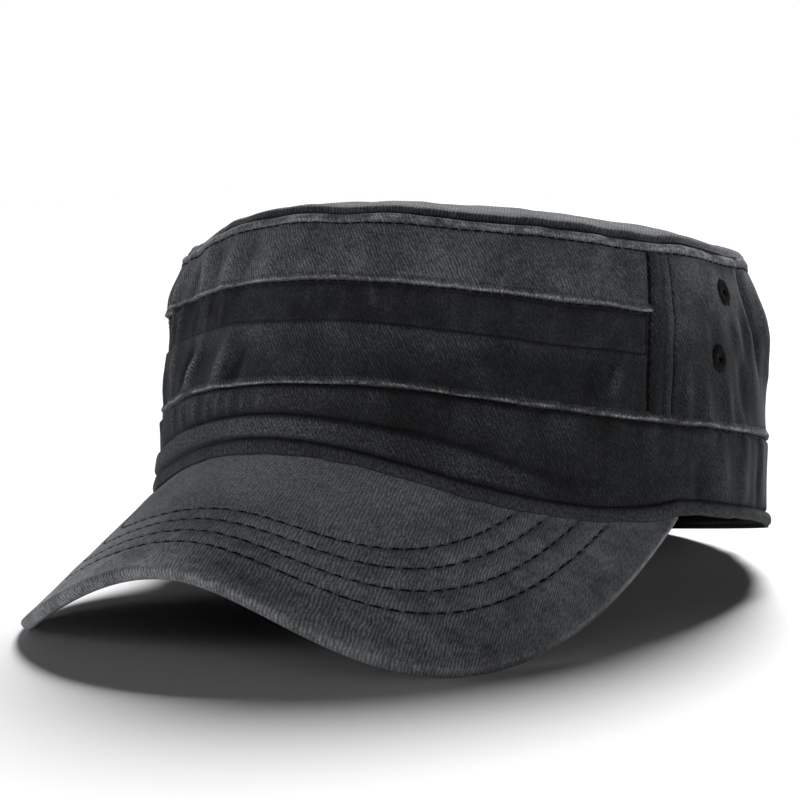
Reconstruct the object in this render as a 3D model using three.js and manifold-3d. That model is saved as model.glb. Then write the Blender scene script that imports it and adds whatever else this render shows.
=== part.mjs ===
// A patrol cap of washed cotton twill: flat-sided crown with a domed top, a band with a rolled
// lower edge, and an arched peak. It stands on the two lobes of the peak and on the rear of the rim.
// Millimetres, +Z up. The front faces -Y and the wearer's left is +X.
import * as THREE from 'three';
import { mergeVertices } from 'three/addons/utils/BufferGeometryUtils.js';
import Module from 'manifold-3d';

const wasm = await Module();
wasm.setup();

// Crown plan, at the rim
const HALF_WIDTH = 90.3;
const HALF_LENGTH = 100.3;
const DIAGONAL_FLAT = 0.035;

// Crown heights above the rim plane, each at its lower seam
const CROWN_HEIGHT = 69.8;
const BAND_FOLD_HEIGHT = 18.5;
const TUCK_HEIGHT = 37;
const UPPER_FOLD_HEIGHT = 47.9;
const ROLL_HEIGHT = 66.3;
const FOLD_WIDTH = 2.1;

// How far the crown draws in towards the top, and how sharply
const TOP_SCALE = 0.918;
const TAPER_POWER = 2.9;

// The front of the crown is pushed up by the arch of the peak, the back of its top stands tall
// and its rim sags on the wearer's right of the front
const FRONT_LIFT_LOW = 11.5;
const FRONT_LIFT_TOP = 4.9;
const FRONT_LIFT_TURN = 46.6;
const BACK_LIFT_TOP = 6;
const BACK_LIFT_TURN = 64;
const SAG_DEPTH = 2.2;
const SAG_TURN = -33;
const SAG_REACH = 20;

// Cloth
const CLOTH = 1.6;
const LINING = 1.2;
const GAP = 0.3;
const FOLD_PROUD = 0.9;
const TUCK_SUNK = 0.5;
const SEAM_PROUD = 0.5;

// Side and back seams, as turns from the front
const BACK_TURN = 180;
const SEAM_TURN = 66.2;
const SEAM_LEAN = 3;
const SEAM_WIDTH = 9.5;
const BACK_SEAM_WIDTH = 6;

// Domed top panel
const DOME_HEIGHT = 8;
const DOME_POWER = 3;
const DOME_LEAN = -0.4;
const DOME_TILT = 0.7;
const TOP_STRIP_WIDTH = 5.2;
const TOP_STRIP_PROUD = 0.5;
const ROLL_PROUD = 0.7;
const ROLL_DEPTH = 3.4;

// Lower edge, band and sweatband
const EDGE_HEIGHT = 3.6;
const EDGE_PROUD = 1.0;
const REAR_EDGE_DROP = 5.8;
const REAR_EDGE_TURN = 45;
const FRONT_BULGE = 1.5;
const FRONT_BULGE_CENTRE = -16;
const FRONT_BULGE_REACH = 60;
const CREASE_DEPTH = 0.7;
const SWEATBAND_HEIGHT = 29;
const SWEATBAND_INSET = 1.4;
const SWEATBAND_LEAN = 0.8;

// Peak
const PEAK_LENGTH = 47.3;
const PEAK_HALF_WIDTH = 84.2;
const PEAK_BACK = 33.2;
const PEAK_TURN = 70;
const PEAK_SIDE_POWER = 3.0;
const PEAK_FRONT_POWER = 2.45;
const PEAK_RISE = 10.4;
const PEAK_SLOPE = 32;
const PEAK_ARCH_DEPTH = 40.7;
const PEAK_ARCH_RUN = 45.7;
const PEAK_TWIST = 3.1;
const PEAK_COVER = 1.7;
const PEAK_THICKNESS = 3.8;
const PEAK_HEM = 3;
const PEAK_HEM_PROUD = 0.7;

// Eyelets
const EYELET_RADIUS = 4.3;
const EYELET_BORE = 1.9;
const EYELET_WALL = 0.7;
const EYELET_RIM = 0.7;
const EYELET_TURN = 74;
const EYELET_LEAN = 14.3;
const EYELET_HEIGHTS = { lower: 38.5, upper: 58 };

// Cloth pressed flat where the cap rests
const REAR_FLAT = 0.7;
const LOBE_FLAT = 0.5;

// Grid of the surfaces
const SEGMENTS = 72;
const FRONT_COLUMNS = 26;
const SIDE_COLUMNS = 22;
const SIDE_ROWS = 7;
const SEAM_COLUMNS = 2;
const PEAK_COLUMNS = 28;
const EYELET_SIDES = 10;
const CUTTER_SIDES = 16;

// Broad folds of the crown wall. turn and reach in degrees, height and tall as shares of the
// crown height, out as a share of the cloth, outwards where it is above zero.
const CROWN_FOLDS = [
  { turn: -24, reach: 7, height: 0.80, tall: 0.14, out: -0.55 },
  { turn: -38, reach: 8, height: 0.78, tall: 0.16, out: 0.50 },
  { turn: -20, reach: 9, height: 0.38, tall: 0.10, out: -0.45 },
  { turn: -34, reach: 9, height: 0.44, tall: 0.12, out: 0.40 },
  { turn: 30, reach: 14, height: 0.82, tall: 0.14, out: 0.35 },
  { turn: 52, reach: 9, height: 0.40, tall: 0.14, out: -0.35 },
  { turn: 80, reach: 8, height: 0.34, tall: 0.14, out: -0.50 },
  { turn: 96, reach: 8, height: 0.62, tall: 0.16, out: -0.45 },
  { turn: 112, reach: 11, height: 0.76, tall: 0.24, out: 1.40 },
  { turn: 140, reach: 12, height: 0.56, tall: 0.20, out: -0.60 },
  { turn: 168, reach: 11, height: 0.70, tall: 0.24, out: 0.90 },
  { turn: -86, reach: 9, height: 0.50, tall: 0.20, out: -0.55 },
  { turn: -108, reach: 12, height: 0.72, tall: 0.24, out: 1.20 },
  { turn: -142, reach: 12, height: 0.52, tall: 0.20, out: -0.55 },
];

// Section of the band from its lower to its upper seam. bulge and crease are shares of the
// front bulge and of the crease depth.
const BAND_SECTION = [
  { share: 0, bulge: 0.3, crease: 0 },
  { share: 0.2, bulge: 1, crease: 0 },
  { share: 0.36, bulge: 0.8, crease: 0 },
  { share: 0.46, bulge: 0, crease: 1 },
  { share: 0.6, bulge: 0.15, crease: 0 },
  { share: 1, bulge: 0, crease: 0 },
];

// Outer sections, from foot to head. level is a share of the piece's height, out a share of how
// far the piece stands proud.
const FOLD_SECTION = [
  { level: 0, out: 0 },
  { level: 0.4, out: 1 },
  { level: 1, out: 0.4 },
];
const ROLL_SECTION = [
  { level: 0, out: 0 },
  { level: 0.45, out: 1 },
  { level: 1, out: 0.15 },
];
const EDGE_SECTION = [
  { level: 0, out: 0.2 },
  { level: 0.45, out: 1 },
  { level: 1, out: 0.3 },
];

// Radii of the top panel as shares of its edge, over and under, and of its stitched strip
const TOP_SHARES = [0.86, 0.7, 0.48, 0.24, 0];
const TOP_UNDER_SHARES = [0, 0.4, 0.75, 1];
const TOP_STRIP = [
  { across: 0, thick: 0.5, proud: 0 },
  { across: 0.16, thick: 1, proud: 0 },
  { across: 1, thick: 1, proud: 1 },
  { across: 1.15, thick: 1, proud: 0 },
];

// Rows across the peak from its hem to the crown, as shares of what the hem leaves
const PEAK_ROWS = [0, 0.2, 0.42, 0.66, 1];
const UNDER_COVER_ROW = 0.05;

const { clamp, lerp, smoothstep, degToRad } = THREE.MathUtils;

function bell(distance, reach) {
  return Math.exp(-((distance / reach) ** 2));
}

// The turn from the front, brought between the back's turn on either side
function signedTurn(turn) {
  return turn > BACK_TURN ? turn - 2 * BACK_TURN : turn;
}

// A point of the crown's plan at a turn, drawn in by a scale and moved outwards
function planPoint(turn, scale, out) {
  const angle = degToRad(turn);
  const radius = scale * (1 - DIAGONAL_FLAT * Math.sin(2 * angle) ** 2);
  const point = new THREE.Vector2(HALF_WIDTH * Math.sin(angle), -HALF_LENGTH * Math.cos(angle));
  const outward = new THREE.Vector2(Math.sin(angle) / HALF_WIDTH, -Math.cos(angle) / HALF_LENGTH);
  return point.multiplyScalar(radius).addScaledVector(outward.normalize(), out);
}

function crownScale(height) {
  const share = clamp(height / CROWN_HEIGHT, 0, 1);
  return 1 - (1 - TOP_SCALE) * share ** TAPER_POWER;
}

// How far a height on the crown is lifted at a turn
function crownLift(turn, height) {
  const share = clamp(height / CROWN_HEIGHT, 0, 1);
  const side = Math.abs(signedTurn(turn));
  const front = lerp(FRONT_LIFT_LOW, FRONT_LIFT_TOP, share) * bell(side, FRONT_LIFT_TURN);
  const back = BACK_LIFT_TOP * share * bell(BACK_TURN - side, BACK_LIFT_TURN);
  const sag = SAG_DEPTH * bell(signedTurn(turn) - SAG_TURN, SAG_REACH);
  return front + back - sag * smoothstep(height, UPPER_FOLD_HEIGHT, ROLL_HEIGHT);
}

function crownFolds(turn, height) {
  let out = 0;
  for (const fold of CROWN_FOLDS) {
    const across = bell(signedTurn(turn) - fold.turn, fold.reach);
    out += fold.out * CLOTH * across * bell(height / CROWN_HEIGHT - fold.height, fold.tall);
  }
  const held = smoothstep(height, BAND_FOLD_HEIGHT, TUCK_HEIGHT);
  return out * held * (1 - smoothstep(height, UPPER_FOLD_HEIGHT, CROWN_HEIGHT));
}

// A point of the crown wall at a turn and a height above the rim plane
function wallPoint(turn, height, out) {
  const plan = planPoint(turn, crownScale(height), out + crownFolds(turn, height));
  return new THREE.Vector3(plan.x, plan.y, height + crownLift(turn, height));
}

// Height of the peak's upper face over a point of the plan
function peakHeight(x, y) {
  const forward = -y - HALF_LENGTH;
  const arch = PEAK_ARCH_DEPTH * (1 - Math.cos(x / PEAK_ARCH_RUN));
  const twist = x * Math.tan(degToRad(PEAK_TWIST));
  return PEAK_RISE - forward * Math.tan(degToRad(PEAK_SLOPE)) - arch - twist;
}

function peakNormal(x, y) {
  const step = GAP;
  const slopeX = (peakHeight(x + step, y) - peakHeight(x - step, y)) / (2 * step);
  const slopeY = (peakHeight(x, y + step) - peakHeight(x, y - step)) / (2 * step);
  return new THREE.Vector3(-slopeX, -slopeY, 1).normalize();
}

// Height of the underside of the rolled edge: on the peak at the front, level behind it
function edgeUnderside(turn, out) {
  const side = signedTurn(turn);
  const seat = planPoint(clamp(side, -PEAK_TURN, PEAK_TURN), 1, out);
  const onPeak = peakHeight(seat.x, seat.y) + GAP / peakNormal(seat.x, seat.y).z;
  const free = smoothstep(Math.abs(side), PEAK_TURN, PEAK_TURN + REAR_EDGE_TURN);
  return lerp(onPeak, -REAR_EDGE_DROP, free);
}

function edgeTop(turn) {
  return edgeUnderside(turn, 0) + EDGE_HEIGHT;
}

// Gives every vertex of a stock geometry a new place and welds it
function reshape(geometry, place) {
  const positions = geometry.getAttribute('position');
  for (let index = 0; index < positions.count; index += 1) {
    const point = place(index, positions);
    positions.setXYZ(index, point.x, point.y, point.z);
  }
  return weld(geometry);
}

function weld(geometry) {
  geometry.deleteAttribute('normal');
  geometry.deleteAttribute('uv');
  geometry.clearGroups();
  const welded = mergeVertices(geometry);
  welded.computeVertexNormals();
  return welded;
}

// A bent slab: place(across, up, through) gives its points, each share from 0 to 1
function slab(columns, rows, place) {
  const box = new THREE.BoxGeometry(1, 1, 1, columns, rows, 1);
  const shares = (index, at) => [at.getX(index) + 0.5, at.getY(index) + 0.5, at.getZ(index) + 0.5];
  return reshape(box, (index, at) => place(...shares(index, at)));
}

// A ring round the crown from a section given from its foot, up outside and down inside
function ring(section, place) {
  const outline = section.map((_, row) => new THREE.Vector2(HALF_WIDTH, row));
  const lathe = new THREE.LatheGeometry(outline, SEGMENTS);
  return reshape(lathe, (index) => {
    const segment = Math.floor(index / section.length) % SEGMENTS;
    return place((segment * 360) / SEGMENTS, section[index % section.length]);
  });
}

function closed(section) {
  return [...section, section[0]];
}

// A closed section from its outer rows, with a straight inner face at a given depth
function backed(rows, proud, depth) {
  const outer = rows.map(({ level, out }) => ({ level, out: out * proud }));
  return closed([...outer, { level: 1, out: -depth }, { level: 0, out: -depth }]);
}

// One cloth panel of the crown wall between two seams, each seam a turn that may lean
function wallPanel({ low = BAND_FOLD_HEIGHT + FOLD_WIDTH, high = ROLL_HEIGHT, from, to, columns,
  rows = SIDE_ROWS, proud = 0 }) {
  return slab(columns, rows, (across, up, through) => {
    const height = lerp(low + GAP / 2, high - GAP / 2, up);
    const turn = lerp(from(height), to(height), across);
    return wallPoint(turn, height, through === 1 ? proud : -CLOTH);
  });
}

// A folded edge all round that stands proud of the wall above a height
function buildBandFold() {
  return ring(backed(FOLD_SECTION, FOLD_PROUD, CLOTH), (turn, { level, out }) => (
    wallPoint(turn, foldHeight(BAND_FOLD_HEIGHT, level), out)));
}

function foldHeight(low, level) {
  return lerp(low + GAP / 2, low + FOLD_WIDTH - GAP / 2, level);
}

// The turn that a width takes up at the sides
function degreesOf(width) {
  return THREE.MathUtils.radToDeg(width / HALF_LENGTH);
}

function seamCentre(height) {
  return SEAM_TURN + (SEAM_LEAN * (height - BAND_FOLD_HEIGHT)) / (ROLL_HEIGHT - BAND_FOLD_HEIGHT);
}

function seamEdge(height, towardBack, gap) {
  return seamCentre(height) + towardBack * degreesOf(SEAM_WIDTH / 2 + gap);
}

// The domed top panel is fuller towards the front and the wearer's left
function buildTopPanel() {
  const foot = ROLL_HEIGHT + FOLD_WIDTH + GAP;
  const strip = TOP_STRIP_WIDTH / (HALF_WIDTH * TOP_SCALE);
  const edge = TOP_STRIP.map(({ across, thick, proud }) => (
    { share: 1 - strip * across, raised: thick * CLOTH + proud * TOP_STRIP_PROUD }));
  const over = TOP_SHARES.map((share) => ({ share, raised: CLOTH }));
  const under = TOP_UNDER_SHARES.map((share) => ({ share, raised: 0 }));
  return ring([...under, ...edge, ...over], (turn, { share, raised }) => {
    const plan = planPoint(turn, TOP_SCALE * share, 0);
    const lean = 1 + (DOME_LEAN * plan.y) / HALF_LENGTH + (DOME_TILT * plan.x) / HALF_WIDTH;
    const dome = DOME_HEIGHT * lean * (1 - share ** DOME_POWER);
    const lift = crownLift(turn, CROWN_HEIGHT) * share;
    return new THREE.Vector3(plan.x, plan.y, foot + lift + dome + raised);
  });
}

function buildTopRoll() {
  const outer = ROLL_SECTION.map(({ level, out }) => ({ level, out: out * ROLL_PROUD }));
  const inner = [{ level: 1, out: ROLL_PROUD - ROLL_DEPTH }, { level: 0, out: -CLOTH }];
  return ring(closed([...outer, ...inner]), (turn, { level, out }) => (
    wallPoint(turn, lerp(ROLL_HEIGHT + GAP / 2, ROLL_HEIGHT + FOLD_WIDTH, level), out)));
}

// A strip or panel of the wall on one side, its two seams given as on the wearer's left
function sideWall(side, early, late, options) {
  const near = side > 0 ? early : (height) => -late(height);
  const far = side > 0 ? late : (height) => -early(height);
  return wallPanel({ from: near, to: far, ...options });
}

function buildSidePanel(side) {
  const seam = (height) => seamEdge(height, 1, GAP);
  const back = () => BACK_TURN - degreesOf(BACK_SEAM_WIDTH / 2 + GAP);
  let solid = solidOf(sideWall(side, seam, back, { columns: SIDE_COLUMNS }));
  const bore = EYELET_BORE + EYELET_WALL + GAP;
  const reach = EYELET_RADIUS + CLOTH;
  for (const height of Object.values(EYELET_HEIGHTS)) {
    const cutter = new THREE.CylinderGeometry(bore, bore, reach, CUTTER_SIDES);
    const seat = eyeletSeat(side, height);
    cutter.applyQuaternion(seat.turned).translate(...seat.point.toArray());
    solid = solid.subtract(solidOf(weld(cutter)));
  }
  return geometryOf(solid);
}

function buildSideSeam(side) {
  const early = (height) => seamEdge(height, -1, 0);
  const late = (height) => seamEdge(height, 1, 0);
  return sideWall(side, early, late, { columns: SEAM_COLUMNS, proud: SEAM_PROUD });
}

function buildBackSeam() {
  const half = degreesOf(BACK_SEAM_WIDTH / 2);
  const [from, to] = [() => BACK_TURN - half, () => BACK_TURN + half];
  return wallPanel({ from, to, columns: SEAM_COLUMNS, proud: SEAM_PROUD });
}

// The front pieces reach from one side seam to the other
function frontTurn(height, across) {
  const edge = seamEdge(height, -1, GAP);
  return lerp(-edge, edge, across);
}

function buildFrontPanel(low, high, rows, proud = 0) {
  const from = (height) => frontTurn(height, 0);
  const to = (height) => frontTurn(height, 1);
  return wallPanel({ low, high, from, to, columns: FRONT_COLUMNS, rows, proud });
}

function buildUpperFold() {
  const last = FOLD_SECTION.length - 1;
  return slab(FRONT_COLUMNS, last, (across, up, through) => {
    const { level, out } = FOLD_SECTION[Math.round(up * last)];
    const height = foldHeight(UPPER_FOLD_HEIGHT, through === 1 ? level : up);
    return wallPoint(frontTurn(height, across), height, through === 1 ? out * FOLD_PROUD : -CLOTH);
  });
}

function solidOf(geometry) {
  const vertProperties = new Float32Array(geometry.getAttribute('position').array);
  const triVerts = new Uint32Array(geometry.index.array);
  return new wasm.Manifold(new wasm.Mesh({ numProp: 3, vertProperties, triVerts }));
}

function geometryOf(solid) {
  const mesh = solid.getMesh();
  const geometry = new THREE.BufferGeometry();
  geometry.setAttribute('position', new THREE.BufferAttribute(mesh.vertProperties, 3));
  geometry.setIndex(new THREE.BufferAttribute(mesh.triVerts, 1));
  geometry.computeVertexNormals();
  return geometry;
}

// Where an eyelet sits in a side panel: its point on the wall and its turn to face outwards
function eyeletSeat(side, height) {
  const turn = side * (EYELET_TURN + (EYELET_LEAN * height) / CROWN_HEIGHT);
  const point = wallPoint(turn, height, 0);
  const along = wallPoint(turn + 2, height, 0).sub(wallPoint(turn - 2, height, 0));
  const up = wallPoint(turn, height + 2, 0).sub(wallPoint(turn, height - 2, 0));
  const outward = along.cross(up).normalize();
  const turned = new THREE.Quaternion().setFromUnitVectors(new THREE.Vector3(0, 1, 0), outward);
  return { point, turned };
}

function buildEyelet() {
  const barrel = EYELET_BORE + EYELET_WALL;
  const crest = (barrel + EYELET_RADIUS) / 2;
  const section = [
    [EYELET_BORE, -CLOTH],
    [barrel, -CLOTH],
    [barrel, GAP],
    [EYELET_RADIUS, GAP],
    [crest, GAP + EYELET_RIM],
    [EYELET_BORE, GAP + EYELET_RIM / 2],
  ];
  const outline = closed(section).map(([radius, out]) => new THREE.Vector2(radius, out));
  return weld(new THREE.LatheGeometry(outline, EYELET_SIDES));
}

function buildBand() {
  const outside = BAND_SECTION.map((row) => ({ ...row, outer: true }));
  const inside = [{ share: 1, outer: false }, { share: 0, outer: false }];
  return ring(closed([...outside, ...inside]), (turn, { share, bulge, crease, outer }) => {
    const low = edgeTop(turn) + GAP;
    const high = BAND_FOLD_HEIGHT + crownLift(turn, BAND_FOLD_HEIGHT) - GAP / 2;
    const front = bell(signedTurn(turn) - FRONT_BULGE_CENTRE, FRONT_BULGE_REACH);
    const out = outer ? front * (bulge * FRONT_BULGE - crease * CREASE_DEPTH) : -CLOTH;
    const plan = planPoint(turn, crownScale(share * BAND_FOLD_HEIGHT), out);
    return new THREE.Vector3(plan.x, plan.y, lerp(low, high, share));
  });
}

function buildBandEdge() {
  return ring(backed(EDGE_SECTION, EDGE_PROUD, CLOTH), (turn, { level, out }) => {
    const plan = planPoint(turn, 1, out);
    return new THREE.Vector3(plan.x, plan.y, lerp(edgeUnderside(turn, out), edgeTop(turn), level));
  });
}

function buildSweatband() {
  const outer = -CLOTH - GAP;
  const section = closed([
    { level: 0, out: outer },
    { level: 1, out: outer - SWEATBAND_LEAN },
    { level: 1, out: outer - SWEATBAND_LEAN - LINING },
    { level: 0, out: outer - LINING },
  ]);
  return ring(section, (turn, { level, out }) => {
    const plan = planPoint(turn, crownScale(level * SWEATBAND_HEIGHT), out);
    const low = edgeUnderside(turn, 0) + SWEATBAND_INSET;
    return new THREE.Vector3(plan.x, plan.y, lerp(low, SWEATBAND_HEIGHT + crownLift(turn, 0), level));
  });
}

// The peak's outer edge in plan, across from -1 to 1
function peakEdge(across) {
  const angle = (Math.PI / 2) * Math.abs(across) ** (PEAK_SIDE_POWER / 2);
  const x = PEAK_HALF_WIDTH * Math.sin(angle) ** (2 / PEAK_SIDE_POWER);
  const reach = HALF_LENGTH + PEAK_LENGTH - PEAK_BACK;
  const forward = reach * Math.abs(Math.cos(angle)) ** (2 / PEAK_FRONT_POWER);
  return new THREE.Vector2(Math.sign(across) * x, -PEAK_BACK - forward);
}

// A point in the peak: across from -1 to 1, a row from the hem at 0 to the crown at 1, and a depth
// below the upper face. A row below 0 is the outer edge. The edge at the crown is cut upright.
function peakPoint(across, row, depth) {
  const outer = peakEdge(across);
  const inner = planPoint(across * PEAK_TURN, 1, -CLOTH);
  const hemShare = Math.min(PEAK_HEM / outer.distanceTo(inner), 1 / 2);
  const share = row < 0 ? 0 : lerp(hemShare, 1, row);
  const plan = outer.lerp(inner, share);
  const normal = peakNormal(plan.x, plan.y);
  const down = row === 1 ? new THREE.Vector3(0, 0, 1 / normal.z) : normal;
  return new THREE.Vector3(plan.x, plan.y, peakHeight(plan.x, plan.y)).addScaledVector(down, -depth);
}

// The upper cover is folded round the edge down to the full thickness of the peak
function buildPeakTopCover() {
  const rows = [-1, ...PEAK_ROWS];
  return slab(PEAK_COLUMNS, rows.length - 1, (across, up, through) => {
    const row = rows[Math.round(up * (rows.length - 1))];
    const depth = row < 0 ? PEAK_THICKNESS : PEAK_COVER;
    return peakPoint(2 * across - 1, row, through === 1 ? 0 : depth);
  });
}

// The under cover stops short of the hem and of the two ends
function buildPeakUnderCover() {
  const columns = PEAK_COLUMNS - 2;
  const last = PEAK_ROWS.length - 1;
  return slab(columns, last, (across, up, through) => {
    const row = Math.max(PEAK_ROWS[Math.round(up * last)], UNDER_COVER_ROW);
    const held = ((2 * across - 1) * columns) / PEAK_COLUMNS;
    return peakPoint(held, row, through === 1 ? PEAK_COVER + GAP : PEAK_THICKNESS - PEAK_HEM_PROUD);
  });
}

// The resting plane through the lowest point of each lobe and of the rear rim
function restingPlane(peak, edge) {
  const peakPoints = pointsOf(peak);
  const left = peakPoints.filter((point) => point.x > 0);
  const right = peakPoints.filter((point) => point.x < 0);
  const rear = pointsOf(edge).filter((point) => point.y > HALF_LENGTH / 2);
  const plane = new THREE.Plane(new THREE.Vector3(0, 0, 1), 0);
  const settlings = 8;
  for (let turn = 0; turn < settlings; turn += 1) {
    const lowest = (points) => points.reduce((low, point) => (
      plane.normal.dot(point) < plane.normal.dot(low) ? point : low));
    const feet = [lowest(rear), lowest(right), lowest(left)];
    plane.setFromCoplanarPoints(...feet.map((foot, index) => (
      foot.clone().addScaledVector(plane.normal, index === 0 ? REAR_FLAT : LOBE_FLAT))));
    plane.normal.multiplyScalar(Math.sign(plane.normal.z));
    plane.setFromNormalAndCoplanarPoint(plane.normal, feet[0].addScaledVector(plane.normal, REAR_FLAT));
  }
  return plane;
}

function pointsOf(geometry) {
  const positions = geometry.getAttribute('position');
  return Array.from({ length: positions.count }, (_, index) => (
    new THREE.Vector3().fromBufferAttribute(positions, index)));
}

// Presses what would reach through the resting plane flat against it
function pressFlat(geometry, plane) {
  const positions = geometry.getAttribute('position');
  pointsOf(geometry).forEach((point, index) => {
    const below = Math.min(plane.distanceToPoint(point), 0);
    point.addScaledVector(plane.normal, -below);
    positions.setXYZ(index, point.x, point.y, point.z);
  });
  geometry.computeVertexNormals();
}

const CLOTHS = {
  crown: { color: 0x2e2f32, roughness: 0.95, metalness: 0 },
  worn: { color: 0x4a4c50, roughness: 0.95, metalness: 0 },
  dark: { color: 0x1c1d1f, roughness: 0.95, metalness: 0 },
  peak: { color: 0x46484b, roughness: 0.92, metalness: 0 },
  under: { color: 0x141416, roughness: 0.96, metalness: 0 },
  thread: { color: 0x101012, roughness: 0.8, metalness: 0 },
};

const crown = new THREE.Group();

function addPiece(name, geometry, cloth) {
  const mesh = new THREE.Mesh(geometry, new THREE.MeshStandardMaterial(CLOTHS[cloth]));
  mesh.name = name;
  crown.add(mesh);
  return mesh;
}

addPiece('crown_top', buildTopPanel(), 'crown');
addPiece('top_seam_roll', buildTopRoll(), 'worn');
addPiece('front_upper_panel', buildFrontPanel(UPPER_FOLD_HEIGHT + FOLD_WIDTH, ROLL_HEIGHT, 3), 'crown');
addPiece('upper_fold', buildUpperFold(), 'worn');
addPiece('tuck_strip', buildFrontPanel(TUCK_HEIGHT, UPPER_FOLD_HEIGHT, 2, -TUCK_SUNK), 'dark');
addPiece('front_lower_panel', buildFrontPanel(BAND_FOLD_HEIGHT + FOLD_WIDTH, TUCK_HEIGHT, 3), 'crown');
addPiece('back_seam', buildBackSeam(), 'crown');
addPiece('band_fold', buildBandFold(), 'worn');
addPiece('band', buildBand(), 'crown');
addPiece('sweatband', buildSweatband(), 'dark');

const SIDES = { left: 1, right: -1 };
for (const [name, side] of Object.entries(SIDES)) {
  addPiece(`side_seam_${name}`, buildSideSeam(side), 'crown');
  addPiece(`side_panel_${name}`, buildSidePanel(side), 'crown');
  for (const [place, height] of Object.entries(EYELET_HEIGHTS)) {
    const eyelet = addPiece(`eyelet_${place}_${name}`, buildEyelet(), 'thread');
    const seat = eyeletSeat(side, height);
    eyelet.position.copy(seat.point);
    eyelet.quaternion.copy(seat.turned);
  }
}

const edgeShape = buildBandEdge();
const peakShape = buildPeakTopCover();
const floor = restingPlane(peakShape, edgeShape);
pressFlat(edgeShape, floor);
pressFlat(peakShape, floor);
addPiece('band_edge', edgeShape, 'worn');
addPiece('peak_top_cover', peakShape, 'peak');
addPiece('peak_under_cover', buildPeakUnderCover(), 'under');

// The cap stands on the surface, with its origin below the middle of its bounding box
crown.quaternion.setFromUnitVectors(floor.normal, new THREE.Vector3(0, 0, 1));
const cap = new THREE.Group();
cap.name = 'patrol_cap';
cap.add(crown);
const extent = new THREE.Box3().setFromObject(cap, true);
const middle = extent.getCenter(new THREE.Vector3());
crown.position.set(-middle.x, -middle.y, -extent.min.z);

export default cap;
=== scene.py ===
"""A patrol cap of washed black cotton twill, standing on its peak and its rear rim.

The crown wall, top, band and peak are laid out from the same sizes as the solid model, in
millimetres in the crown's own frame, and then set down in the resting pose in metres.
"""

import logging
import math
from dataclasses import dataclass, replace
from enum import Enum
from typing import Callable, ClassVar, Sequence

import bpy
import numpy as np
from mathutils import Matrix, Vector

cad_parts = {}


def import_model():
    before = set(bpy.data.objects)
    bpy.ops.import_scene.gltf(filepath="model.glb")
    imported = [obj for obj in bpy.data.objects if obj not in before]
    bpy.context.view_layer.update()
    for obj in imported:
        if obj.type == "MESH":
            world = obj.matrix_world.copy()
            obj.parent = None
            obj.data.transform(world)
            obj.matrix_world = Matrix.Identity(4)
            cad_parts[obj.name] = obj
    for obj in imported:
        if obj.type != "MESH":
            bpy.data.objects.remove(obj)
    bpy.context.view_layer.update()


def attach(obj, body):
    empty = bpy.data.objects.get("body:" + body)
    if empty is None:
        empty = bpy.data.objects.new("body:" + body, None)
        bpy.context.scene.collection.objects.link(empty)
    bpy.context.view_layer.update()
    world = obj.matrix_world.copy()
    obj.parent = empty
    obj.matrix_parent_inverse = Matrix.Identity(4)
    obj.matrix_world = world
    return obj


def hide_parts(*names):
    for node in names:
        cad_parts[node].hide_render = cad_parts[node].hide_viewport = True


Array = np.ndarray
Colour = tuple[float, float, float]

MM = 0.001
ROOT = "root"
CLOTH_ATTRIBUTE = "cloth_mm"
# Wear of the cloth, and the painted highlights on the middle of the peak and on the band edge's ridge.
WEAR_AND_HIGHLIGHT_ATTRIBUTE = "wear"
# Painted shade: how far the twill is darkened in seams, grooves, creases and hollows.
PAINTED_SHADE_ATTRIBUTE = "painted_shade"

log = logging.getLogger("patrol_cap")


class Slot(Enum):
    """The finishes of the record that the pieces take."""

    CROWN = "crown_twill"
    WORN = "worn_edge"
    TUCK = "tuck_twill"
    EDGE = "edge_twill"
    PEAK = "peak_twill"
    UNDER = "under_twill"
    SWEATBAND = "sweatband_cloth"
    THREAD = "thread"


class Side(Enum):
    """The wearer's two sides, as the sign of X."""

    LEFT = 1
    RIGHT = -1

    @property
    def word(self) -> str:
        """The side's name in the pieces' names."""
        return self.name.lower()


def bell(distance: Array, reach: float) -> Array:
    """A bell curve of the distance."""
    return np.exp(-((distance / reach) ** 2))


def ease(value: Array, start: float, end: float) -> Array:
    """A smooth step from 0 at start to 1 at end."""
    share = np.clip((value - start) / (end - start), 0.0, 1.0)
    return share * share * (3.0 - 2.0 * share)


def signed(turn: Array) -> Array:
    """Turns brought between -180 and 180 degrees."""
    return (np.asarray(turn, float) + 180.0) % 360.0 - 180.0


def unit(vectors: Array) -> Array:
    """Vectors of length 1 in the same directions."""
    return vectors / np.linalg.norm(vectors, axis=-1, keepdims=True)


def arc(points: Array) -> Array:
    """Length of the way along the first axis of a grid of points, from its first row."""
    steps = np.linalg.norm(np.diff(points, axis=0), axis=-1)
    return np.concatenate([np.zeros((1, *steps.shape[1:])), np.cumsum(steps, axis=0)])


def spaced(low: float, high: float, step: float, fine: Sequence[float] = (0.25, 0.6, 1.1)) -> Array:
    """Places from low to high, a step apart and closer together near the two ends.

    Args:
        low: First place.
        high: Last place.
        step: Distance in the middle.
        fine: Distances of the first places from an end.

    Returns:
        The places in rising order.
    """
    near = [low, *(low + f for f in fine)]
    far = [*(high - f for f in reversed(fine)), high]
    count = max(int(round((far[0] - near[-1]) / step)), 1)
    return np.array([*near, *np.linspace(near[-1], far[0], count + 1)[1:-1], *far])


def both_sides(outside: Array, inside: Array) -> tuple[Array, Array]:
    """Rows over the outside of a cloth and then its inside, as a column.

    Args:
        outside: Places of the rows outside.
        inside: Places of the rows inside.

    Returns:
        The places, and which of them are inside.
    """
    rows = np.concatenate([outside, inside])[:, None]
    return rows, np.arange(len(rows))[:, None] >= len(outside)


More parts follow.
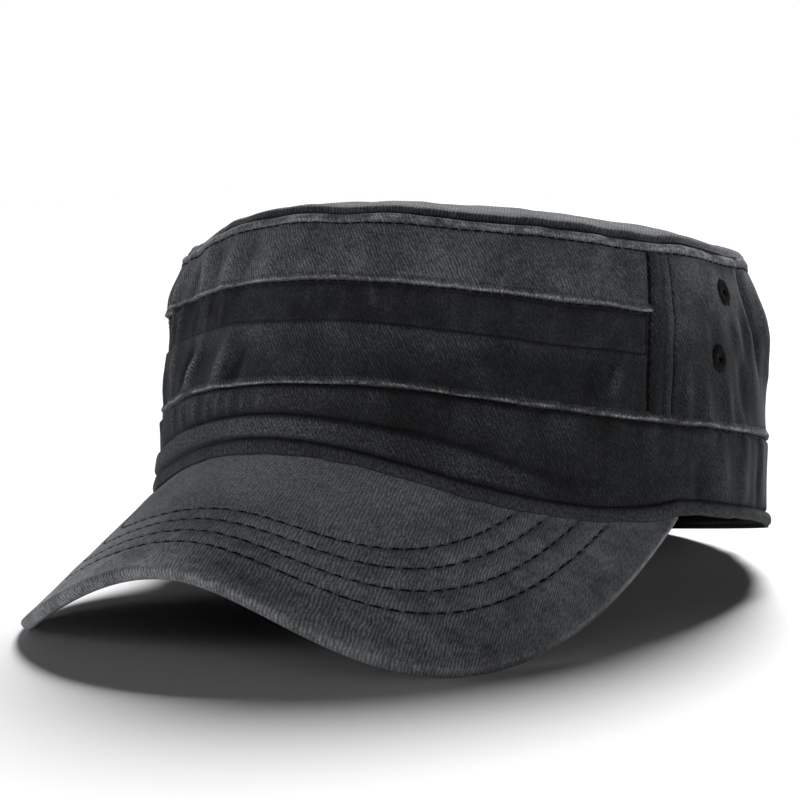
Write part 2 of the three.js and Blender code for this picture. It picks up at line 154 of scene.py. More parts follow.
@dataclass(frozen=True)
class ClothNoise:
    """Smooth noise in space, the same on every run.

    Attributes:
        seed: Which noise it is.
    """

    seed: int

    def _corner(self, i: Array, j: Array, k: Array) -> Array:
        """The value at a corner of the lattice.

        Args:
            i: Lattice column.
            j: Lattice row.
            k: Lattice layer.

        Returns:
            Values from -1 to 1.
        """
        mixed = (i * 73856093) ^ (j * 19349663) ^ (k * 83492791) ^ (self.seed * 265443576)
        mixed = ((mixed ^ (mixed >> 13)) * 1274126177) & 0x7FFFFFFF
        mixed = mixed ^ (mixed >> 15)
        return (mixed & 0xFFFF) / 32767.5 - 1.0

    def at(self, x: Array, y: Array, z: Array) -> Array:
        """The noise at points, with features about one unit across.

        Args:
            x: First coordinate.
            y: Second coordinate.
            z: Third coordinate.

        Returns:
            Values from about -1 to 1.
        """
        x, y, z = np.broadcast_arrays(np.asarray(x, float), y, z)
        low = [np.floor(c).astype(np.int64) for c in (x, y, z)]
        part = [c - f for c, f in zip((x, y, z), low)]
        ease_x, ease_y, ease_z = (p * p * p * (p * (p * 6 - 15) + 10) for p in part)
        total = np.zeros(x.shape)
        for a in (0, 1):
            for b in (0, 1):
                for c in (0, 1):
                    weight = ((ease_x if a else 1 - ease_x) * (ease_y if b else 1 - ease_y)
                              * (ease_z if c else 1 - ease_z))
                    total += weight * self._corner(low[0] + a, low[1] + b, low[2] + c)
        return total


@dataclass(frozen=True)
class Ripple:
    """Soft unevenness over the plan of the cap.

    Attributes:
        seed: Which noise it is.
        depth: Its depth, in mm.
        run: Size of its features in the plan, in mm.
    """

    seed: int
    depth: float
    run: float

    def at(self, x: Array, y: Array, level: Array | float = 0.0) -> Array:
        """How far the cloth stands out over a place in the plan, at a level of the noise."""
        return self.depth * ClothNoise(self.seed).at(x / self.run, y / self.run, level)


@dataclass(frozen=True)
class BroadFold:
    """A broad fold of the crown wall, which the solid model has too.

    Attributes:
        turn: Where it is, in degrees from the front.
        reach: Half its width, in degrees.
        share: Height of its middle, as a share of the crown's height.
        tall: Half its length, as a share of the crown's height.
        proud: How far it stands out, in thicknesses of the cloth.
    """

    turn: float
    reach: float
    share: float
    tall: float
    proud: float


@dataclass(frozen=True)
class Profile:
    """The section of a turned edge, from below.

    Attributes:
        level: Heights of its points.
        out: How far each point stands out.
    """

    level: tuple[float, ...]
    out: tuple[float, ...]

    def closed(self, back: float) -> "Profile":
        """The section with a straight back behind it."""
        return Profile((*self.level, self.level[-1], self.level[0]), (*self.out, back, back))

    def columns(self) -> tuple[Array, Array]:
        """Its heights and how far it stands out, each as a column."""
        return np.array(self.level)[:, None], np.array(self.out)[:, None]


@dataclass(frozen=True)
class Fold:
    """A fold in the crown wall.

    Attributes:
        turn: Where it is, in degrees from the front.
        height: Height of its middle above the rim, in mm.
        width: Half its width, in mm.
        length: Half its length, in mm.
        tilt: Lean from upright towards the wearer's left, in degrees.
        out: How far it stands out, in mm, or in where it is below zero.
    """

    turn: float
    height: float
    width: float
    length: float
    tilt: float
    out: float


@dataclass(frozen=True)
class Pucker:
    """Cloth drawn up along a seam.

    Attributes:
        height: Height of the seam on the crown wall, in mm.
        above: How far the puckers reach upwards, in mm.
        below: How far they reach downwards, in mm.
        wave: Distance between them, in mm.
        depth: Their depth, in mm.
    """

    height: float
    above: float
    below: float
    wave: float
    depth: float


@dataclass(frozen=True)
class CrownShape:
    """The form of the crown, rim and peak in the crown's own frame, in millimetres.

    The front faces -Y, the wearer's left is +X and the rim plane is at a height of 0. A turn is
    an angle in degrees from the front, towards the wearer's left.
    """

    half_width: float = 90.3
    half_length: float = 100.3
    diagonal_flat: float = 0.035
    crown_height: float = 69.8
    band_fold_height: float = 18.5
    tuck_height: float = 37.0
    upper_fold_height: float = 47.9
    roll_height: float = 66.3
    fold_width: float = 2.1
    top_scale: float = 0.918
    taper_power: float = 2.9
    front_lift_low: float = 11.5
    front_lift_top: float = 4.9
    front_lift_turn: float = 46.6
    back_lift_top: float = 6.0
    back_lift_turn: float = 64.0
    sag: float = 2.2
    sag_turn: float = -33.0
    sag_reach: float = 20.0
    cloth: float = 1.6
    gap: float = 0.3
    seam_turn: float = 66.2
    seam_lean: float = 3.0
    seam_width: float = 9.5
    back_seam_width: float = 6.0
    dome_height: float = 8.0
    dome_power: float = 3.0
    dome_lean: float = -0.4
    dome_tilt: float = 0.7
    edge_height: float = 3.6
    rear_edge_drop: float = 5.8
    rear_edge_turn: float = 45.0
    sweatband_height: float = 29.0
    peak_length: float = 47.3
    peak_half_width: float = 84.2
    peak_back: float = 33.2
    peak_turn: float = 70.0
    peak_side_power: float = 3.0
    peak_front_power: float = 2.45
    peak_rise: float = 10.4
    peak_slope: float = 32.0
    peak_arch_depth: float = 40.7
    peak_arch_run: float = 45.7
    peak_twist: float = 3.1
    peak_thickness: float = 3.8
    sway_ripples: tuple[Ripple, Ripple] = (Ripple(41, 0.45, 21.0), Ripple(42, 0.22, 7.5))
    sway_level: float = 14.0
    lean: tuple[float, float, float] = (-0.054327, 0.156749, 0.986143)
    seat: tuple[float, float, float] = (0.3157, 21.6854, 21.0248)
    broad_folds: tuple[BroadFold, ...] = (
        BroadFold(-24, 7, 0.80, 0.14, -0.55), BroadFold(-38, 8, 0.78, 0.16, 0.50),
        BroadFold(-20, 9, 0.38, 0.10, -0.45), BroadFold(-34, 9, 0.44, 0.12, 0.40),
        BroadFold(30, 14, 0.82, 0.14, 0.35), BroadFold(52, 9, 0.40, 0.14, -0.35),
        BroadFold(80, 8, 0.34, 0.14, -0.50), BroadFold(96, 8, 0.62, 0.16, -0.45),
        BroadFold(112, 11, 0.76, 0.24, 1.40), BroadFold(140, 12, 0.56, 0.20, -0.60),
        BroadFold(168, 11, 0.70, 0.24, 0.90), BroadFold(-86, 9, 0.50, 0.20, -0.55),
        BroadFold(-108, 12, 0.72, 0.24, 1.20), BroadFold(-142, 12, 0.52, 0.20, -0.55))

    @property
    def girth(self) -> float:
        """Length of cloth all round the wall."""
        return float(self.length(np.array(360.0)))

    def around(self, step: float) -> Array:
        """Turns all round the cap, about a step apart."""
        count = int(self.girth / step)
        return np.arange(count) * 360.0 / count - 180.0

    def plan(self, turn: Array, scale: Array, out: Array) -> tuple[Array, Array]:
        """A point of the crown's plan.

        Args:
            turn: Turn from the front.
            scale: How far the plan is drawn in.
            out: Distance outwards.

        Returns:
            The x and y of the point.
        """
        angle = np.radians(turn)
        radius = scale * (1 - self.diagonal_flat * np.sin(2 * angle) ** 2)
        away_x, away_y = np.sin(angle) / self.half_width, -np.cos(angle) / self.half_length
        size = np.hypot(away_x, away_y)
        return (self.half_width * np.sin(angle) * radius + out * away_x / size,
                -self.half_length * np.cos(angle) * radius + out * away_y / size)

    def scale(self, height: Array) -> Array:
        """How far the plan is drawn in at a height of the wall."""
        return 1 - (1 - self.top_scale) * np.clip(height / self.crown_height, 0, 1) ** self.taper_power

    def lift(self, turn: Array, height: Array) -> Array:
        """How far a height on the crown is lifted at a turn.

        Args:
            turn: Turn from the front.
            height: Height above the rim plane.

        Returns:
            The lift.
        """
        share = np.clip(height / self.crown_height, 0, 1)
        side = np.abs(signed(turn))
        front = (self.front_lift_low + (self.front_lift_top - self.front_lift_low) * share)
        back = self.back_lift_top * share * bell(180 - side, self.back_lift_turn)
        sag = self.sag * bell(signed(turn) - self.sag_turn, self.sag_reach)
        sag = sag * ease(height, self.upper_fold_height, self.roll_height)
        return front * bell(side, self.front_lift_turn) + back - sag

    def sway(self, turn: Array, height: Array) -> Array:
        """How far the washed seams wander up and down.

        Args:
            turn: Turn from the front.
            height: Height above the rim plane.

        Returns:
            Heights to add.
        """
        x, y = self.plan(turn, 1.0, 0.0)
        level = np.asarray(height) / self.sway_level
        broad, fine = self.sway_ripples
        return broad.at(x, y, level) + fine.at(x, y, level)

    def folds(self, turn: Array, height: Array) -> Array:
        """The broad folds of the wall.

        Args:
            turn: Turn from the front.
            height: Height above the rim plane.

        Returns:
            How far the wall stands out.
        """
        out = np.zeros(np.broadcast(turn, height).shape)
        for fold in self.broad_folds:
            out += (fold.proud * self.cloth * bell(signed(turn) - fold.turn, fold.reach)
                    * bell(height / self.crown_height - fold.share, fold.tall))
        held = ease(height, self.band_fold_height, self.tuck_height)
        return out * held * (1 - ease(height, self.upper_fold_height, self.crown_height))

    def wall(self, turn: Array, height: Array, out: Array) -> Array:
        """Points of the crown wall.

        Args:
            turn: Turn from the front.
            height: Height above the rim plane.
            out: Distance outwards from the wall's face.

        Returns:
            Points, with x, y and z along the last axis.
        """
        x, y = self.plan(turn, self.scale(height), out + self.folds(turn, height))
        lifted = height + self.lift(turn, height) + self.sway(turn, height)
        return np.stack([x, y, np.broadcast_to(lifted, x.shape)], -1)

    def peak_height(self, x: Array, y: Array) -> Array:
        """Height of the peak's upper face over a point of the plan.

        Args:
            x: Place to the wearer's left.
            y: Place to the back.

        Returns:
            The height.
        """
        arch = self.peak_arch_depth * (1 - np.cos(x / self.peak_arch_run))
        twist = x * math.tan(math.radians(self.peak_twist))
        slope = (-y - self.half_length) * math.tan(math.radians(self.peak_slope))
        return self.peak_rise - slope - arch - twist

    def peak_normal(self, x: Array, y: Array) -> Array:
        """The direction away from the peak's upper face.

        Args:
            x: Place to the wearer's left.
            y: Place to the back.

        Returns:
            Unit vectors.
        """
        step = self.gap
        slope_x = (self.peak_height(x + step, y) - self.peak_height(x - step, y)) / (2 * step)
        slope_y = (self.peak_height(x, y + step) - self.peak_height(x, y - step)) / (2 * step)
        return unit(np.stack([-slope_x, -slope_y, np.ones_like(slope_x)], -1))

    def edge_underside(self, turn: Array, out: Array) -> Array:
        """Height of the underside of the rolled edge.

        Args:
            turn: Turn from the front.
            out: Distance outwards.

        Returns:
            Heights, on the peak at the front and level behind it.
        """
        side = signed(turn)
        x, y = self.plan(np.clip(side, -self.peak_turn, self.peak_turn), 1.0, out)
        on_peak = self.peak_height(x, y) + self.gap / self.peak_normal(x, y)[..., 2]
        free = ease(np.abs(side), self.peak_turn, self.peak_turn + self.rear_edge_turn)
        return on_peak + (-self.rear_edge_drop - on_peak) * free

    def edge_top(self, turn: Array) -> Array:
        """Height of the seam between the rolled edge and the band."""
        return self.edge_underside(turn, 0.0) + self.edge_height

    def band_point(self, turn: Array, share: Array, out: Array) -> Array:
        """Points of the band.

        Args:
            turn: Turn from the front.
            share: Share of the way from the lower to the upper seam.
            out: Distance outwards.

        Returns:
            Points, with x, y and z along the last axis.
        """
        low = self.edge_top(turn) + self.gap
        seam = self.band_fold_height
        high = seam + self.lift(turn, seam) + self.sway(turn, seam) - self.gap / 2
        x, y = self.plan(turn, self.scale(share * self.band_fold_height), out)
        return np.stack([x, y, np.broadcast_to(low + (high - low) * share, x.shape)], -1)

    def seam_centre(self, height: Array) -> Array:
        """Turn of the middle of the left side seam at a height."""
        rise = (height - self.band_fold_height) / (self.roll_height - self.band_fold_height)
        return self.seam_turn + self.seam_lean * rise

    def degrees(self, width: float) -> float:
        """The turn that a width takes up at the sides."""
        return math.degrees(width / self.half_length)

    def length(self, turn: Array) -> Array:
        """Length of cloth round the wall from the front to a turn."""
        return np.radians(turn) * (self.half_width + self.half_length) / 2

    def rim_distance(self, x: Array, y: Array) -> Array:
        """How far a point of the peak lies within its outer edge, in plan.

        Args:
            x: Place to the wearer's left.
            y: Place to the back.

        Returns:
            Distances, counted so that a row of stitches keeps one value.
        """
        reach = self.half_length + self.peak_length - self.peak_back
        forward = np.maximum(-self.peak_back - y, 0.0)
        low, high = np.full(x.shape, -6.0), np.full(x.shape, 60.0)
        for _ in range(24):
            middle = (low + high) / 2
            inside = ((np.abs(x) / (self.peak_half_width - middle)) ** self.peak_side_power
                      + (forward / (reach - middle)) ** self.peak_front_power) < 1
            low, high = np.where(inside, middle, low), np.where(inside, high, middle)
        return (low + high) / 2

    def peak_edge(self, across: Array, inset: float = 0.0) -> tuple[Array, Array]:
        """A line round the peak in plan, at the outer edge or within it.

        Args:
            across: Place along the line, from -1 to 1.
            inset: Distance from the outer edge.

        Returns:
            The x and y of the points.
        """
        angle = math.pi / 2 * np.abs(across) ** (self.peak_side_power / 2)
        x = (self.peak_half_width - inset) * np.sin(angle) ** (2 / self.peak_side_power)
        reach = self.half_length + self.peak_length - self.peak_back - inset
        forward = reach * np.abs(np.cos(angle)) ** (2 / self.peak_front_power)
        return np.sign(across) * x, -self.peak_back - forward

    def world(self, points: Array) -> Array:
        """Sets points down in the resting pose.

        Args:
            points: Points in the crown's frame, in millimetres.

        Returns:
            The points in metres, none of them below the surface that the cap stands on.
        """
        turned = Vector((0, 0, 1)).rotation_difference(Vector(self.lean)).to_matrix()
        placed = (points @ np.array(turned).T + np.array(self.seat)) * MM
        placed[..., 2] = np.maximum(placed[..., 2], 0.0)
        return placed


@dataclass
class Skin:
    """A grid of points with what its finish reads.

    Attributes:
        points: Points in the crown's frame, in mm, as rows, columns and x, y, z.
        cloth: Place along and up the cloth, in mm.
        wear: How worn the cloth is, with the painted highlights that share this mask, from 0 to 1.
        painted_shade: How much painted shade darkens it in seams, grooves, creases and hollows, from 0 to 1.
    """

    points: Array
    cloth: Array
    wear: Array
    painted_shade: Array

    @classmethod
    def of(cls, points: Array, along: Array, up: Array, wear: Array, painted_shade: Array) -> "Skin":
        """Makes a skin, stretching each value to the size of the grid.

        Args:
            points: The grid of points.
            along: Place along the cloth.
            up: Place up the cloth.
            wear: Wear of the cloth, with painted highlights.
            painted_shade: Painted shade in seams, grooves, creases and hollows.

        Returns:
            The skin.
        """
        size = points.shape[:2]
        spread = [np.broadcast_to(np.asarray(v, float), size) for v in (along, up, wear, painted_shade)]
        return cls(points, np.stack(spread[:2], -1), spread[2], spread[3])


class Workbench:
    """Turns skins and threads into pieces that ride on the cap."""

    thread_sides = 6

    def __init__(self, shape: CrownShape) -> None:
        """Keeps the shape whose pose the pieces take."""
        self.shape = shape
        self.finishes: dict[Slot, bpy.types.Material] = {}

    def skin_piece(self, name: str, skin: Skin, slot: Slot, ring: bool = False, length: float = 0.0,
                   kept: Callable[[Array], Array] | None = None) -> bpy.types.Object:
        """Makes a closed piece from a grid whose rows run round its section.

        Args:
            name: The piece's name, which is also that of the solid node that it stands for.
            skin: The grid.
            slot: The finish that it takes.
            ring: Whether its last column joins its first.
            length: Length of cloth round a ring, by which the joining faces count on.
            kept: Says which faces stay, from their centres in the crown's frame.

        Returns:
            The piece.
        """
        rows, columns = skin.points.shape[:2]
        index = np.arange(rows * columns).reshape(rows, columns)
        ends = columns if ring else columns - 1
        first, second = np.arange(ends), (np.arange(ends) + 1) % columns
        below, above = index, np.roll(index, -1, axis=0)
        quads = np.stack([below[:, first], below[:, second], above[:, second], above[:, first]], -1)
        wraps = np.broadcast_to(second[None, :] == 0, quads.shape[:2]).reshape(-1)
        quads = quads.reshape(-1, 4)
        flat = skin.points.reshape(-1, 3)
        if kept is not None:
            stay = kept(flat[quads].mean(1))
            quads, wraps = quads[stay], wraps[stay]
        corners, sizes, joins = [quads.reshape(-1)], [np.full(len(quads), 4)], [wraps]
        if not ring:
            corners += [index[::-1, 0], index[:, -1]]
            sizes.append(np.array([rows, rows]))
            joins.append(np.array([False, False]))
        size = np.concatenate(sizes)
        corner = self._outward(flat, np.concatenate(corners), size)
        cloth = np.zeros((len(corner), 3))
        cloth[:, :2] = skin.cloth.reshape(-1, 2)[corner]
        counts_on = np.concatenate(joins).repeat(size) & (corner % columns == 0)
        cloth[counts_on, 0] += length
        mesh = self._mesh(name, self.shape.world(flat), corner, size)
        layer = mesh.attributes.new(CLOTH_ATTRIBUTE, "FLOAT_VECTOR", "CORNER")
        layer.data.foreach_set("vector", cloth.astype(np.float32).ravel())
        for attribute, values in ((WEAR_AND_HIGHLIGHT_ATTRIBUTE, skin.wear), (PAINTED_SHADE_ATTRIBUTE, skin.painted_shade)):
            layer = mesh.attributes.new(attribute, "FLOAT", "POINT")
            layer.data.foreach_set("value", values.astype(np.float32).ravel())
        return self._piece(mesh, slot, [name])

    @staticmethod
    def _outward(points: Array, corner: Array, size: Array) -> Array:
        """The corners of a closed body's faces, turned over if the faces point inwards.

        Args:
            points: The body's points.
            corner: The points of its faces, one face after the other.
            size: Corners of each face.

        Returns:
            The corners in an order that points the faces outwards.
        """
        start = np.cumsum(size) - size
        volume = 0.0
        for sides in np.unique(size):
            face = points[corner[start[size == sides][:, None] + np.arange(sides)]]
            first = np.broadcast_to(face[:, :1], face[:, 2:].shape)
            volume += float((first * np.cross(face[:, 1:-1], face[:, 2:])).sum())
        if volume >= 0:
            return corner
        owner = np.repeat(np.arange(len(size)), size)
        place = np.arange(len(corner)) - start[owner]
        return corner[start[owner] + (size[owner] - place) % size[owner]]

    @staticmethod
    def _mesh(name: str, points: Array, corner: Array, size: Array) -> bpy.types.Mesh:
        """Makes a smooth mesh.

        Args:
            name: The mesh's name.
            points: Its points.
            corner: The points of its faces, one face after the other.
            size: Corners of each face.

        Returns:
            The mesh.
        """
        mesh = bpy.data.meshes.new(name)
        mesh.vertices.add(len(points))
        mesh.vertices.foreach_set("co", points.astype(np.float32).ravel())
        mesh.loops.add(len(corner))
        mesh.loops.foreach_set("vertex_index", corner.astype(np.int32))
        mesh.polygons.add(len(size))
        mesh.polygons.foreach_set("loop_start", (np.cumsum(size) - size).astype(np.int32))
        mesh.update(calc_edges=True)
        mesh.polygons.foreach_set("use_smooth", np.ones(len(size), bool))
        return mesh

    def threads(self, name: str, lines: Array, radii: Array) -> bpy.types.Object:
        """Makes one piece of many short closed threads.

        Args:
            name: The piece's name.
            lines: Centre lines as threads, rings and x, y, z, in the crown's frame.
            radii: Radius at each ring of a thread.

        Returns:
            The piece.
        """
        count, rings = lines.shape[:2]
        sides = self.thread_sides
        along = np.gradient(lines, axis=1)
        along /= np.linalg.norm(along, axis=-1, keepdims=True) + 1e-9
        upright = np.where(np.abs(along[..., 2:]) > 0.9, [[[1.0, 0.0, 0.0]]], [[[0.0, 0.0, 1.0]]])
        aside = unit(np.cross(along, upright))
        up = np.cross(aside, along)
        angle = np.arange(sides) * 2 * math.pi / sides
        around = aside[:, :, None] * np.cos(angle)[:, None] + up[:, :, None] * np.sin(angle)[:, None]
        points = lines[:, :, None] + around * np.asarray(radii)[None, :, None, None]
        each = rings * sides
        ring = np.arange(sides)
        faces = []
        for row in range(rings - 1):
            here, there = row * sides, (row + 1) * sides
            faces.append(np.stack([here + ring, here + (ring + 1) % sides,
                                   there + (ring + 1) % sides, there + ring], -1))
        quads = np.concatenate(faces)[None] + np.arange(count)[:, None, None] * each
        ends = np.stack([ring[::-1], ring + (rings - 1) * sides])[None]
        caps = ends + np.arange(count)[:, None, None] * each
        corner = np.concatenate([quads.reshape(-1), caps.reshape(-1)])
        size = np.concatenate([np.full(quads.size // 4, 4), np.full(count * 2, sides)])
        flat = points.reshape(-1, 3)
        mesh = self._mesh(name, self.shape.world(flat), self._outward(flat, corner, size), size)
        return self._piece(mesh, Slot.THREAD, ())

    def _piece(self, mesh: bpy.types.Mesh, slot: Slot, replaces: Sequence[str]) -> bpy.types.Object:
        """Links a mesh as a piece, dresses it and lets it ride on the cap.

        Args:
            mesh: The finished mesh.
            slot: The finish that it takes.
            replaces: The solid nodes that it stands for.

        Returns:
            The piece.
        """
        piece = bpy.data.objects.new(mesh.name, mesh)
        bpy.context.scene.collection.objects.link(piece)
        mesh.materials.append(self.finishes[slot])
        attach(piece, ROOT)
        if replaces:
            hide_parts(*replaces)
        log.info("%s: %d faces", piece.name, len(mesh.polygons))
        return piece


@dataclass(frozen=True)
class Grain:
    """A noise in a material.

    Attributes:
        scale: How fine it is.
        detail: How many finer layers it has.
        low: What becomes 0.
        high: What becomes 1.
    """

    scale: float
    detail: float
    low: float
    high: float


class NodeBench:
    """A material's node tree, with short ways to add to it."""

    def __init__(self, name: str) -> None:
        """Starts an empty material of that name."""
        self.material = bpy.data.materials.new(name)
        self.material.use_nodes = True
        self.tree = self.material.node_tree
        self.tree.nodes.clear()

    def node(self, kind: str, inputs: dict | None = None, **settings: object) -> bpy.types.Node:
        """Adds a node.

        Args:
            kind: Its type.
            inputs: Values or sockets for its inputs, by name or number.
            **settings: Its own settings.

        Returns:
            The node.
        """
        made = self.tree.nodes.new(kind)
        for key, value in settings.items():
            setattr(made, key, value)
        for key, value in (inputs or {}).items():
            if isinstance(value, bpy.types.NodeSocket):
                self.tree.links.new(value, made.inputs[key])
            else:
                made.inputs[key].default_value = value
        return made

    def sum(self, operation: str, *values: object) -> bpy.types.NodeSocket:
        """The result of a Math node on values or sockets."""
        inputs = dict(enumerate(values))
        return self.node("ShaderNodeMath", inputs, operation=operation).outputs[0]

    def along(self, vector: bpy.types.NodeSocket, x: float, y: float) -> bpy.types.NodeSocket:
        """How far a point lies along a direction of the cloth."""
        inputs = {0: vector, 1: (x, y, 0.0)}
        return self.node("ShaderNodeVectorMath", inputs, operation="DOT_PRODUCT").outputs["Value"]

    def noise(self, vector: bpy.types.NodeSocket, grain: Grain) -> bpy.types.NodeSocket:
        """A noise stretched to run from 0 to 1.

        Args:
            vector: Where it is read.
            grain: What it looks like.

        Returns:
            The value.
        """
        inputs = {"Vector": vector, "Scale": grain.scale, "Detail": grain.detail}
        raw = self.node("ShaderNodeTexNoise", inputs).outputs["Fac"]
        inputs = {"Value": raw, "From Min": grain.low, "From Max": grain.high}
        return self.node("ShaderNodeMapRange", inputs).outputs["Result"]

    def blend(self, share: object, first: object, second: object) -> bpy.types.NodeSocket:
        """A colour between two, by a share."""
        made = self.node("ShaderNodeMix", data_type="RGBA")
        named = {"Factor_Float": share, "A_Color": first, "B_Color": second}
        for socket in made.inputs:
            value = named.get(socket.identifier)
            if isinstance(value, bpy.types.NodeSocket):
                self.tree.links.new(value, socket)
            elif value is not None:
                socket.default_value = (*value, 1.0) if isinstance(value, tuple) else value
        return next(o for o in made.outputs if o.identifier == "Result_Color")

    def attribute(self, name: str, output: str) -> bpy.types.NodeSocket:
        """What the mesh keeps under a name."""
        return self.node("ShaderNodeAttribute", attribute_name=name).outputs[output]

    def surface(self, height: bpy.types.NodeSocket, bump: float, relief: float,
                inputs: dict[str, object]) -> bpy.types.Material:
        """Ends the material with its surface.

        Args:
            height: How far the surface stands out, from 0 to 1.
            bump: Share of that which the light sees.
            relief: The full height, in mm.
            inputs: Values or sockets for the surface, by name.

        Returns:
            The material.
        """
        normal = self.node("ShaderNodeBump", {"Strength": bump, "Distance": relief * MM, "Height": height})
        surface = self.node("ShaderNodeBsdfPrincipled", {"Normal": normal.outputs[0], **inputs})
        self.node("ShaderNodeOutputMaterial", {"Surface": surface.outputs[0]})
        return self.material


@dataclass(frozen=True)
class Twill:
    """Washed cotton twill, dark in the weave's hollows and paler on the worn yarn.

    Attributes:
        slot: The finish of the record that it is.
        dark: Colour in the hollows of the weave.
        pale: Colour of the yarn on top.
        worn: Colour where the dye has rubbed off, also used for the painted highlights that share the wear
            mask.
        rib: Direction of the ribs, in degrees from along the cloth.
        pitch: Distance between two ribs, in mm.
        speck: Share of the yarn's own unevenness.
        grain: Share of the fuzz's unevenness.
        cloud: Share of the patchiness of the wash.
        fade: How much darker the cloth is low down than high up, painted shade standing in for the light from
            above.
        dark_below: Height above the floor up to which it is darkest, in mm.
        pale_above: Height above the floor from which it is palest, in mm.
        sheen: Weight of the fuzz.
        relief: Height of the ribs, in mm.
    """

    slot: Slot
    dark: Colour
    pale: Colour
    worn: Colour
    rib: float
    pitch: float = 0.62
    speck: float = 0.5
    grain: float = 0.6
    cloud: float = 0.95
    fade: float = 0.0
    dark_below: float = 66.0
    pale_above: float = 90.0
    sheen: float = 0.2
    relief: float = 0.12
    fibres: ClassVar[Grain] = Grain(1.1, 2.0, 0.36, 0.66)
    fuzz: ClassVar[Grain] = Grain(1.5, 3.0, 0.36, 0.68)
    patches: ClassVar[Grain] = Grain(52.0, 4.0, 0.38, 0.64)
    streaks: ClassVar[Grain] = Grain(210.0, 3.0, 0.36, 0.68)
    draw: ClassVar[float] = 1.6
    draw_scale: ClassVar[float] = 0.22
    yarn_stretch: ClassVar[float] = 0.42
    seam_shade: ClassVar[float] = 0.9

    def _drawn(self, bench: NodeBench, cloth: bpy.types.NodeSocket) -> bpy.types.NodeSocket:
        """The place on the cloth, drawn a little out of true.

        Args:
            bench: The material's nodes.
            cloth: The place on the cloth.

        Returns:
            The place that the weave reads.
        """
        wobble = bench.node("ShaderNodeTexNoise", {"Vector": cloth, "Scale": self.draw_scale, "Detail": 2.0})
        shift = bench.node("ShaderNodeVectorMath", {0: wobble.outputs["Color"], 1: (0.5, 0.5, 0.5)},
                           operation="SUBTRACT").outputs[0]
        return bench.node("ShaderNodeVectorMath", {0: shift, 1: (self.draw, self.draw, 0.0), 2: cloth},
                          operation="MULTIPLY_ADD").outputs[0]

    def _painted_shade_low_down(self, bench: NodeBench, place: bpy.types.NodeSocket) -> bpy.types.NodeSocket:
        """Painted shade: how pale the cloth is at its height above the floor, darker low down.

        Args:
            bench: The material's nodes.
            place: The place in space.

        Returns:
            A share of the full tone.
        """
        level = bench.node("ShaderNodeSeparateXYZ", {0: place}).outputs["Z"]
        inputs = {"Value": level, "From Min": self.dark_below * MM, "From Max": self.pale_above * MM,
                  "To Min": 1 - self.fade, "To Max": 1.0}
        return bench.node("ShaderNodeMapRange", inputs, interpolation_type="SMOOTHSTEP").outputs["Result"]

    def material(self) -> bpy.types.Material:
        """Makes the material."""
        bench = NodeBench(self.slot.value)
        cloth = bench.attribute(CLOTH_ATTRIBUTE, "Vector")
        place = bench.node("ShaderNodeTexCoord").outputs["Object"]
        drawn = self._drawn(bench, cloth)
        angle = math.radians(self.rib)
        across = bench.along(drawn, -math.sin(angle) / self.pitch, math.cos(angle) / self.pitch)
        down = bench.along(drawn, math.cos(angle) / self.pitch, math.sin(angle) / self.pitch)
        wave = bench.sum("SINE", bench.sum("MULTIPLY", across, 2 * math.pi))
        ribs = bench.sum("MULTIPLY_ADD", wave, 0.5, 0.5)
        stretched = bench.sum("MULTIPLY", down, self.yarn_stretch)
        yarn = bench.node("ShaderNodeCombineXYZ", {0: across, 1: stretched}).outputs[0]
        specks, fuzz = bench.noise(yarn, self.fibres), bench.noise(cloth, self.fuzz)
        patches, streaks = bench.noise(place, self.patches), bench.noise(place, self.streaks)
        wear, painted_shade = bench.attribute(WEAR_AND_HIGHLIGHT_ATTRIBUTE, "Fac"), bench.attribute(PAINTED_SHADE_ATTRIBUTE, "Fac")
        weave = bench.sum("MULTIPLY", bench.sum("MULTIPLY_ADD", ribs, 0.55, 0.45),
                          bench.sum("MULTIPLY_ADD", specks, self.speck, 1 - self.speck))
        weave = bench.sum("MULTIPLY", weave, bench.sum("MULTIPLY_ADD", fuzz, self.grain, 1 - self.grain / 2))
        wash = bench.sum("MULTIPLY_ADD", patches, 0.6, bench.sum("MULTIPLY", streaks, 0.4))
        tone = bench.sum("MULTIPLY", weave, bench.sum("MULTIPLY_ADD", wash, self.cloud, 1 - self.cloud / 2))
        # Painted shade: darker low down, by the height above the floor.
        tone = bench.sum("MULTIPLY", tone, self._painted_shade_low_down(bench, place))
        colour = bench.blend(tone, self.dark, self.pale)
        # Paler towards the worn colour: real wear, and painted highlights on the middle of the peak and the
        # band edge's ridge.
        rubbed = bench.sum("MULTIPLY", wear, bench.sum("MULTIPLY_ADD", fuzz, 0.7, 0.3))
        rubbed = bench.sum("MULTIPLY", rubbed, bench.sum("MULTIPLY_ADD", weave, 1.1, 0.3))
        colour = bench.blend(rubbed, colour, self.worn)
        # Painted shade: darkens the colour towards a third of the hollow colour in seams, grooves, creases
        # and hollows.
        shade = bench.sum("MULTIPLY", painted_shade, self.seam_shade)
        colour = bench.blend(shade, colour, (self.dark[0] / 3, self.dark[1] / 3, self.dark[2] / 3))
        rough = bench.sum("MULTIPLY_ADD", weave, -0.12, 0.97)
        height = bench.sum("MULTIPLY_ADD", ribs, 0.45, bench.sum("MULTIPLY", specks, 0.55))
        return bench.surface(height, 0.8, self.relief, {
            "Base Color": colour, "Roughness": rough, "Specular IOR Level": 0.18,
            "Sheen Weight": self.sheen, "Sheen Roughness": 0.45, "Sheen Tint": (0.62, 0.66, 0.72, 1.0)})


